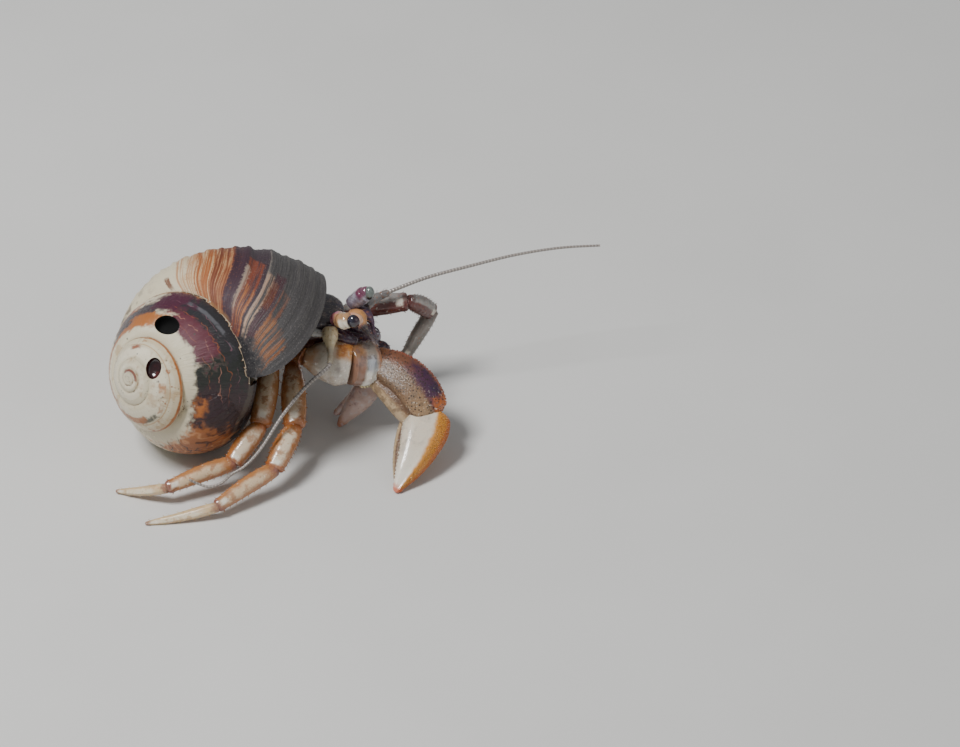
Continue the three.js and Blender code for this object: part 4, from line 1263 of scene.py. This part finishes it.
        # rough, pored shell with only a thin film of water: dull, with a grain that catches the light.
        # Its dots are drawn coarser than life, because finer ones would not show
        material = chitin("granular claw", "#7d5f44", [
            ("#b39470", 0.6, [(("along", 0.4, 0.9), 0.5, 0.95), (("side", 0.4, 0.9), -0.5, -0.1)]),
            ("#c9b08c", 0.7, [(("side", 0.2, 0.9), 0.62, 0.8)]),
            ("#6f5842", 0.75, [(0.9, 0.46, 0.62)]),
            ("#6a5542", 0.8, [(("along", 0.4, 0.9), 0.7, 0.3), (("side", 0.3, 0.9), 0.7, 0.3)]),
            ("#74452f", 0.85, [(("side", 0.3, 0.9), -0.25, -0.6)]),
            ("#44233f", 0.95, [(("side", 0.35, 0.9), -0.28, -0.5), (("side", 0.1, 0.9), -0.99, -0.9),
                               (("along", 0.35, 0.9), 0.34, 0.58), (("along", 0.25, 0.9), 0.98, 0.84)]),
            ("#33233e", 0.8, [(0.9, 0.5, 0.62), (("side", 0.2, 0.9), -0.5, -0.7),
                              (("along", 0.2, 0.9), 0.4, 0.6)]),
            ("#9c4a2c", 0.8, [(("side", 0.06, 0.4), -0.93, -0.99), ("along", 0.08, 0.3)]),
            ("#c46a24", 0.95, [(("along", 0.2, 0.6), 0.78, 0.92), (("side", 0.2, 0.6), -0.3, -0.62)]),
            ("#8f5a30", 0.8, [(("along", 0.12, 0.6), 0.18, 0.06)]),
            ("#2f211b", 0.9, [(("dots", 0.34), 0.36, 0.22), ("side", 0.6, 0.5)]),
            # painted shadow along the furrow on the palm's upper face
            ("#5a3c28", 0.75, [(("side", 0.05, 0.3), 0.38, 0.5), (("side", 0.05, 0.3), 0.7, 0.6),
                               ("front", 0.1, 0.3), ("along", 0.1, 0.25)]),
            ("#f0e6d4", 0.8, [(0.25, 0.6, 0.7), (("along", 0.15, 0.6), 0.6, 0.95)]),
            ("#e2c9a4", 0.5, [(0.16, 0.6, 0.7), ("side", -0.6, -0.4)]),
        ], rough=0.36, grain=0.2, grain_depth=0.09, coat=0.25, clear=0.04)
        piece("right_claw_palm", together([skin, dots, margin, teeth]), material,
              ["right_claw_palm"])

    def make_finger(self, hinge, tip, rings, sides):
        def relief(along, x, y):
            keel = 0.12 * hump(x, -0.45, 0.2) * smoothstep(y, 0, 0.3)
            dish = -0.08 * hump(x, 0.2, 0.35) * smoothstep(y, 0, 0.3) * hump(along, 0.4, 0.4)
            return keel + dish

        finger = segment(hinge, np.array(tip) + (-0.25, 0.05, 0.0), (2.2, 2.5, 2.0, 1.3, 0.4), 0.55, 0.9,
                         (0.7, 0, 0.5), begin=-0.12, square=2.2, relief=relief, blunt=(0.12, 0.04))
        a, t = sown(11, (14, 60), (0.02, 0.98), (math.pi - 1.15, math.pi + 0.4), 0.8)
        grains = studs(finger, a, t, 0.085 - 0.03 * a, 0.9, 0.3)
        a, t = sown(12, (9, 18), (0.05, 0.95), (0.2, math.pi - 1.2), 1.0)
        dots = studs(finger, a, t, 0.04, 0.7, 0.2)
        a, t = sown(13, (2, 22), (0.08, 0.95), (-0.25, 0.15), 0.4)
        teeth = studs(finger, a, t, 0.09, 0.9, 0.3)
        # harder and smoother than the palm: ivory with an orange edge, and glossy between its grains
        material = chitin("granular claw finger", "#ddd0bc", [
            ("#b3a898", 0.7, [(1.4, 0.48, 0.64), (("side", 0.2, 0.7), -0.3, 0.1)]),
            ("#f3ecdd", 0.8, [(("along", 0.3, 0.9), 0.45, 0.9)]),
            ("#cf8a2c", 1.0, [(("side", 0.35, 0.8), -0.2, -0.45)]),
            ("#c2641f", 0.85, [(("side", 0.2, 0.6), -0.72, -0.92)]),
            ("#8f5a24", 0.7, [(("dots", 0.28), 0.3, 0.2), (("side", 0.2, 0.6), -0.3, -0.5)]),
            ("#d0603a", 0.85, [(("along", 0.06, 0.5), 0.9, 0.97)]),
            # painted highlight: near-white spot at the finger's base by the hinge
            ("#fffaf0", 0.95, [(("along", 0.06, 0.5), 0.12, 0.05), (("side", 0.1, 0.5), -0.1, 0.1),
                               (("side", 0.1, 0.5), 0.6, 0.4)]),
            ("#8d7a66", 0.5, [(0.16, 0.66, 0.72)]),
        ], rough=0.22, grain=0.3)
        whole = together([limb_surface(finger, rings + 30, sides + 32), grains, dots, teeth])
        piece("right_claw_finger", whole, material, ["right_claw_finger"])


class HERMIT_OT_add_left_claw(Maker):
    """Adds the small claw, held under the eyes"""
    bl_idname = "hermit.add_left_claw"
    bl_label = "Add Left Claw"

    def make(self, scene):
        shoulder, elbow, wrist = [-15.3, -5.6, 10.4], [-10.8, -5.5, 8.5], [-11, -7.9, 5.6]
        tip, hinge, finger_tip = [-15.4, -10, 0.2], [-13, -8.3, 4], [-15.8, -9.2, 1.2]
        rings, sides = scene.hermit_limbs.rings, scene.hermit_limbs.sides
        # wet plates in the body's shade: their dark purple is partly their own colour and partly painted
        # shade, under grey rims, with pale specks painted as glints
        dark = chitin("dark claw arm", "#4a3240", [
            ("#8d8792", 0.8, [(("along", 0.12, 0.5), 0.8, 0.93)]),
            ("#a55f35", 0.8, [(0.4, 0.58, 0.68)]),
            ("#cfc4bd", 0.7, [(0.25, 0.64, 0.72)]),
        ], rough=0.2)
        # thin, smooth shell that light passes into: soft pink and mauve, with wet glints
        mauve = chitin("mauve claw", "#cdb0a4", [
            ("#c07f5c", 0.9, [(("along", 0.15, 0.5), 0.8, 0.97)]),
            ("#cdbdbc", 0.7, [(0.6, 0.5, 0.64)]),
            ("#7c5666", 0.4, [(0.9, 0.56, 0.66)]),
            ("#d8c9b8", 0.7, [(0.22, 0.62, 0.7)]),
        ], rough=0.18)
        shapes = (
            ("merus", segment(shoulder, elbow, (0.8, 1.15, 1.3, 1.1), 0.8), dark, 2.0),
            ("carpus", segment(elbow, wrist, (1, 1.25, 1.05), 0.85), dark, 2.2),
            ("palm", segment(wrist, tip, (1, 1.4, 1.35, 0.85, 0.3), 0.7), mauve, 0.9),
            ("finger", segment(hinge, finger_tip, (0.5, 0.52, 0.45, 0.27), 0.9), mauve, 0.9),
        )
        for i, (name, shape, material, long) in enumerate(shapes):
            shape["blunt"] = (0.2, 0.2) if i < 2 else (0.1, 0.05)
            shape["relief"] = lambda along, x, y: 0.05 * hump(along, 0.9, 0.04) + 0.02 * np.sin(along * 45)
            a, t = sown(20 + i, (7, 9), (0.08, 0.95), (0, math.pi), 0.9)
            grains = studs(shape, a, t, 0.045, long, 0.4)
            piece(f"left_claw_{name}", together([limb_surface(shape, rings, sides), grains]), material,
                  [f"left_claw_{name}"])


class HERMIT_OT_add_walking_legs(Maker):
    """Adds the two pairs of walking legs and the two small pairs that hold the shell"""
    bl_idname = "hermit.add_walking_legs"
    bl_label = "Add Walking Legs"

    def make(self, scene):
        rings, sides = scene.hermit_limbs.rings, scene.hermit_limbs.sides
        orange = {
            "merus": leg_material("leg upper segment", "#b07a4c", "#a5602c", "#d2bda0", "#96643c"),
            "carpus": leg_material("leg wrist segment", "#a96d3c", "#98501f", "#e2d2b8", "#a97c58"),
            "propodus": leg_material("leg long segment", "#b07748", "#7c4a44", "#dcc4a2", "#a5744f"),
            "dactyl": leg_material("leg tip segment", "#d8bc92", "#8a5a4c", "#ecdfc6", "#c9a77c", 0.3),
        }
        grey = leg_material("shaded grey leg", "#8a8480", "#5c2a26", "#a7a29c", "#7d6a64",
                            below="#642a22", under=("side", -0.25, 0.05))
        ash = leg_material("ash grey leg end", "#8a837c", "#7c6a60", "#a39c94", "#7d756e", below="#77706a")
        for leg, (size, *joints) in LEG_JOINTS.items():
            for i, (name, across, flatness, bow) in enumerate(LEG_SEGMENTS):
                spiny = name in ("carpus", "propodus")

                def relief(along, x, y, last=name == "dactyl"):
                    scales = 0.02 * np.sin(along * 44 + 3 * x) * smoothstep(y, -0.2, 0.4)
                    rim = 0.07 * hump(along, 0.93, 0.03)
                    keel = 0.1 * hump(y, 1, 0.12) * hump(along, 0.5, 0.35)
                    flutes = 0.04 * (hump(x, 0.5, 0.15) + hump(x, -0.4, 0.15)) * (y > 0)
                    return (keel + flutes if last else scales + rim + keel) * size

                shape = segment(joints[i], joints[i + 1], np.array(across) * size, flatness, bow * size,
                                begin=0.0 if i == 0 else -0.05, relief=relief, blunt=(0.03, 0.03))
                seed = 40 + i
                a, t = sown(seed, (6, 22 if spiny else 14), (0.08, 0.93), (0.1, math.pi - 0.1), 1.0)
                grains = studs(shape, a, t, 0.04 * size, 1.2, 0.6)
                edge = np.linspace(0.15, 0.93, 9 if spiny else 5)
                spines = [studs(shape, edge, np.full_like(edge, turn), 0.055 * size, 2.2, 0.9)
                          for turn in (0.1, math.pi - 0.1)]
                a, t = sown(seed + 9, (3, 7), (0.1, 0.97), (-0.4, math.pi + 0.4), 1.0)
                hairs = studs(shape, a, t, 0.012 * size, 20.0, 1.2)
                parts = [limb_surface(shape, rings, sides), grains, hairs] + spines
                if i > 0:
                    knuckle = 0.8 * across[0] * size
                    radii = (knuckle, knuckle, knuckle * 0.8)
                    parts.append(ball_surface(joints[i], radii, 0.04, 16, 20))
                node_name = f"{leg}_{name}"
                far = grey if i < 2 else ash
                material = far if leg == "left_leg2" else orange[name]
                piece(node_name, together(parts), material, [node_name])
        # thin, pale shell that lets the flesh's red through
        pale = chitin("small shell-holding legs", "#b99a80", [
            ("#8a4f3a", 0.7, [(0.5, 0.5, 0.65)]),
            ("#6b5560", 0.8, [(("along", 0.1, 0.5), 0.75, 0.92)]),
        ])
        for name, (path, radii) in SHELL_LEGS.items():
            shape = limb([on_body(*place) for place in path], radii, blunt=(0.1, 0.12))
            a, t = sown(60, (6, 8), (0.6, 0.97), (-0.6, math.pi + 0.6), 0.8)
            piece(name, together([limb_surface(shape, 28, 20), studs(shape, a, t, 0.045, 0.8)]), pale,
                  [name])


class HERMIT_OT_add_eyes(Maker):
    """Adds the banded eyestalks and their glossy dark corneas"""
    bl_idname = "hermit.add_eyes"
    bl_label = "Add Eyes"

    def make(self, scene):
        # thin, fully wetted tubes: saturated bands of colour under long, sharp highlights
        bands = {
            "right": chitin("banded eyestalk", "#b0647c", [
                ("#c48a72", 0.7, [(0.4, 0.5, 0.65)]),
                ("#b58d62", 0.95, [(("along", 0.3, 0.6), 0.26, 0.42)]),
                ("#8f6a50", 0.7, [(("along", 0.2, 0.5), 0.38, 0.48), (("along", 0.2, 0.5), 0.58, 0.48)]),
                ("#e9dcc8", 1.0, [(("along", 0.14, 0.6), 0.6, 0.68), (("front", 0.5, 0.6), 0.8, 0.3)]),
                ("#d9a684", 0.9, [("along", 1.05, 1.15)]),
                ("#b8737a", 0.8, [("along", 1.05, 1.15), (("front", 0.2, 0.5), -0.3, -0.8)]),
            ], rough=0.16, grain=0.15, grain_depth=0.03, coat=1),
            "left": chitin("lilac eyestalk", "#7d7681", [
                ("#a9a1ab", 0.7, [(0.5, 0.45, 0.65)]),
                ("#55434f", 0.8, [(("along", 0.2, 0.6), 0.3, 0.1)]),
                ("#6d2a48", 0.9, [(("along", 0.25, 0.6), 0.62, 0.8), (("front", 0.5, 0.6), -0.2, 0.3),
                                  ("along", 1.15, 1.05)]),
                ("#857d86", 0.9, [("along", 1.05, 1.15)]),
                ("#6d2a48", 0.8, [("along", 1.05, 1.15), (("front", 0.4, 0.5), -0.1, 0.4)]),
            ], rough=0.16, grain=0.15, grain_depth=0.02, coat=1, clear=0.3),
        }
        # the clear lens skin shows a dark red eye on one side; the grey on the other side is a painted
        # reflection
        corneas = {
            "right": self.cornea("glassy dark cornea", "#1c1622", [
                ("#3b3c4c", 0.6, [(("side", 0.5, 0.6), 0.2, -0.6), (("front", 0.5, 0.6), -0.2, 0.6)]),
                ("#341626", 0.85, [(("side", 0.6, 0.6), 0.0, 0.6)]),
            ]),
            "left": self.cornea("grey-capped cornea", "#0d0d10", [
                ("#6f7873", 0.85, [(("front", 0.4, 0.5), -0.45, 0.0)]),
                ("#b9bdb6", 0.6, [(0.2, 0.62, 0.7), ("front", -0.2, 0.2)]),
            ]),
        }
        for side, (path, radii, rim_centre, rim_radii, centre, cornea_radii) in EYES.items():
            lumps = 0.035 if side == "right" else 0.012
            stalk = limb(path, radii, blunt=(0.1, 0.12), face=UP, relief=lambda along, x, y, lumps=lumps:
                         lumps * (np.sin(along * 11 + x) + np.sin(along * 23 + 2 * y)))
            rim = ball_surface(rim_centre, rim_radii, 1.2)
            piece(f"{side}_eyestalk", together([limb_surface(stalk), rim]), bands[side],
                  [f"{side}_eyestalk"])
            piece(f"{side}_cornea", ball_surface(centre, cornea_radii, rings=40, sides=48), corneas[side],
                  [f"{side}_cornea"])

    def cornea(self, name, ground, layers):
        """Clear, wet skin over a dark eye: glassy, so its highlights stay small and bright. Its
        facets are drawn coarser than life, because finer ones would not show."""
        material, tree = fresh_material(name)
        facets = node(tree, "ShaderNodeTexVoronoi", {
            "Vector": node(tree, "ShaderNodeTexCoord").outputs["Object"], "Scale": 1 / (0.055 * MM)})
        relief = node(tree, "ShaderNodeBump", {
            "Height": facets.outputs["Distance"], "Distance": 0.004 * MM, "Strength": 0.3})
        glass = node(tree, "ShaderNodeBsdfPrincipled", {
            "Base Color": coloured(tree, ground, layers), "Roughness": 0.12, "IOR": 1.5,
            "Normal": relief.outputs[0], "Coat Weight": 1.0, "Coat Roughness": 0.03})
        node(tree, "ShaderNodeOutputMaterial", {"Surface": glass.outputs[0]})
        return material


class HERMIT_OT_add_feelers(Maker):
    """Adds the jointed feeler bases, the antennules and the two long beaded antennae"""
    bl_idname = "hermit.add_feelers"
    bl_label = "Add Feelers"

    def make(self, scene):
        # smooth, slightly clear shell with a water film: cream, grey, tan and purple
        bases = {
            "right_antenna_base": chitin("cream feeler base", "#d3c19c", [
                ("#a8824e", 0.8, [(0.7, 0.5, 0.62)]),
                ("#e6d9bd", 0.7, [(0.4, 0.56, 0.66)]),
                ("#8f8678", 0.8, [(("along", 0.1, 0.5), 0.45, 0.7)]),
            ]),
            "left_antenna_base": chitin("grey feeler base", "#6f6a68", [
                ("#8f6244", 0.6, [(0.5, 0.56, 0.66)]),
                ("#bdb6ac", 0.6, [(0.3, 0.62, 0.7)]),
            ]),
            "right_antennule": chitin("tan antennule", "#b98350", [
                ("#8f6038", 0.5, [(0.6, 0.52, 0.66)]),
                ("#c98f86", 0.8, [(("side", 0.1, 0.5), 0.3, 0.7)]),
                ("#4d474c", 0.95, [(("along", 0.1, 0.5), 0.4, 0.5)]),
                ("#e2cfae", 0.6, [(0.3, 0.6, 0.7)]),
            ]),
            "left_antennule": chitin("purple antennule", "#4a3048", [
                ("#8c5a48", 0.7, [(0.4, 0.57, 0.67)]),
            ]),
        }
        for name, material in bases.items():
            path, radii = FEELERS[name]
            shape = limb(path, radii, blunt=(0.05, 0.04), face=UP, relief=lambda along, x, y:
                         -0.07 * hump(along, 0.36, 0.02) - 0.06 * hump(along, 0.7, 0.02))
            a, t = sown(70, (6, 10), (0.1, 0.95), (0, TURN), 1.0)
            hairs = studs(shape, a, t, 0.018, 14.0, 1.0)
            piece(name, together([limb_surface(shape), hairs]), material, [name])
        # clear horn: each bead is dark with a paler ring, and light passes through the thread
        beads, tree = fresh_material("ringed antenna")
        place = node(tree, "ShaderNodeMath", {0: measured(tree, "bead")}, operation="FRACT")
        ring = node(tree, "ShaderNodeMapRange", {
            "Value": place.outputs[0], "From Min": 0.6, "From Max": 0.95}, interpolation_type="SMOOTHSTEP")
        colour = node(tree, "ShaderNodeMix", {
            0: ring.outputs[0], 6: linear("#857d78"), 7: linear("#bbb3aa")}, data_type="RGBA")
        horn = node(tree, "ShaderNodeBsdfPrincipled", {
            "Base Color": colour.outputs[2], "Roughness": 0.3, "IOR": 1.5, "Coat Weight": 0.5,
            "Coat Roughness": 0.1, "Subsurface Weight": 0.2, "Subsurface Radius": (0.5, 0.4, 0.3),
            "Subsurface Scale": 0.3 * MM})
        node(tree, "ShaderNodeOutputMaterial", {"Surface": horn.outputs[0]})
        settings = scene.hermit_lashes
        for name, path in LASHES.items():
            points = (through(path, np.linspace(0, 1, 40)) - ORIGIN) * MM
            mesh = bpy.data.meshes.new(name)
            mesh.from_pydata(points.tolist(), [(i, i + 1) for i in range(39)], [])
            lash = bpy.data.objects.new(name, mesh)
            scene.collection.objects.link(lash)
            grown_with(lash, lash_tree(), name, root_radius=settings.root, tip_radius=settings.tip,
                       bead_length=settings.bead, material=beads)
            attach(lash, BODY)
            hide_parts(name)


class HERMIT_OT_add_mouthparts(Maker):
    """Adds the bristly outer mouthparts below the eyes"""
    bl_idname = "hermit.add_mouthparts"
    bl_label = "Add Mouthparts"

    def make(self, scene):
        # wet plates whose dark ground is painted shade for the deep shade they lie in, so that their paler
        # ends show against the dark
        material = chitin("mouthparts", "#3a2636", [
            ("#6e4a3c", 0.6, [(0.5, 0.54, 0.66)]),
            ("#8d7f84", 0.7, [(("along", 0.1, 0.5), 0.85, 0.97)]),
        ], rough=0.25)
        for name in ("right_maxilliped", "left_maxilliped"):
            path, radii = FEELERS[name]
            shape = limb(path, radii, blunt=(0.08, 0.08), face=UP)
            a, t = sown(80, (7, 12), (0.2, 0.97), (0, TURN), 1.0)
            hairs = studs(shape, a, t, 0.014, 18.0, 1.6)
            piece(name, together([limb_surface(shape), hairs]), material, [name])


class HERMIT_OT_add_stage(Maker):
    """Adds the pale floor, the camera and the soft lights"""
    bl_idname = "hermit.add_stage"
    bl_label = "Add Stage"

    def make(self, scene):
        floor = bpy.data.meshes.new("floor")
        corners = [(-2, -1, 0), (2, -1, 0), (2, 2, 0), (-2, 2, 0)]
        floor.from_pydata(corners, [], [(0, 1, 2, 3)])
        ground = bpy.data.objects.new("floor", floor)
        scene.collection.objects.link(ground)
        # matt paper, whose faint clouds keep the floor from looking flat
        paper, tree = fresh_material("pale studio paper")
        shade = coloured(tree, "#dddcd9", [("#d6d5d2", 0.6, [(40.0, 0.3, 0.7)])])
        matte = node(tree, "ShaderNodeBsdfPrincipled", {"Base Color": shade, "Roughness": 0.9})
        node(tree, "ShaderNodeOutputMaterial", {"Surface": matte.outputs[0]})
        floor.materials.append(paper)

        camera = bpy.data.objects.new("camera", bpy.data.cameras.new("camera"))
        camera.data.lens = CAMERA_LENS
        camera.data.sensor_width = 36
        camera.data.sensor_fit = "HORIZONTAL"
        camera.data.clip_start = 0.01
        camera.data.clip_end = 20
        camera.location = CAMERA_PLACE
        camera.rotation_euler = (CAMERA_TILT, 0, 0)
        scene.collection.objects.link(camera)
        scene.camera = camera

        lights = (
            ("key", scene.hermit_stage.key, 0.11, (-0.16, -0.1, 0.34), (32, -24, 0)),
            ("fill", scene.hermit_stage.fill, 0.3, (0.3, -0.18, 0.2), (20, 50, 0)),
        )
        for name, power, size, place, turn in lights:
            light = bpy.data.lights.new(name, "AREA")
            light.energy = power
            light.size = size
            lamp = bpy.data.objects.new(name, light)
            lamp.location = place
            lamp.rotation_euler = [math.radians(angle) for angle in turn]
            scene.collection.objects.link(lamp)
        world = bpy.data.worlds.new("studio")
        world.use_nodes = True
        background = world.node_tree.nodes["Background"]
        background.inputs["Color"].default_value = scene.hermit_stage.surroundings
        background.inputs["Strength"].default_value = 0.32
        scene.world = world


OPERATORS = (
    HERMIT_OT_add_shell, HERMIT_OT_add_soft_body, HERMIT_OT_add_shield, HERMIT_OT_add_right_claw,
    HERMIT_OT_add_left_claw, HERMIT_OT_add_walking_legs, HERMIT_OT_add_eyes, HERMIT_OT_add_feelers,
    HERMIT_OT_add_mouthparts, HERMIT_OT_add_stage,
)


class HERMIT_PT_panel(bpy.types.Panel):
    """The makers, in the order they run"""
    bl_idname = "HERMIT_PT_panel"
    bl_label = "Hermit Crab"
    bl_space_type = "VIEW_3D"
    bl_region_type = "UI"
    bl_category = "Hermit Crab"

    def draw(self, context):
        for settings in ("hermit_shell", "hermit_limbs", "hermit_lashes", "hermit_stage"):
            group = getattr(context.scene, settings)
            for name in group.bl_rna.properties.keys():
                if name not in ("rna_type", "name"):
                    self.layout.prop(group, name)
        for operator in OPERATORS:
            self.layout.operator(operator.bl_idname)


SETTINGS = {
    "hermit_shell": HermitShellSettings,
    "hermit_limbs": HermitLimbSettings,
    "hermit_lashes": HermitLashSettings,
    "hermit_stage": HermitStageSettings,
}


def register():
    for group in SETTINGS.values():
        bpy.utils.register_class(group)
    for name, group in SETTINGS.items():
        setattr(bpy.types.Scene, name, bpy.props.PointerProperty(type=group))
    for operator in OPERATORS:
        bpy.utils.register_class(operator)
    bpy.utils.register_class(HERMIT_PT_panel)


def unregister():
    bpy.utils.unregister_class(HERMIT_PT_panel)
    for operator in reversed(OPERATORS):
        bpy.utils.unregister_class(operator)
    for name in SETTINGS:
        delattr(bpy.types.Scene, name)
    for group in SETTINGS.values():
        bpy.utils.unregister_class(group)


def main():
    register()
    for operator in OPERATORS:
        group, name = operator.bl_idname.split(".")
        result = getattr(getattr(bpy.ops, group), name)()
        if "FINISHED" not in result:
            raise RuntimeError(f"{operator.bl_label} did not finish")


if __name__ == "__main__":
    main()
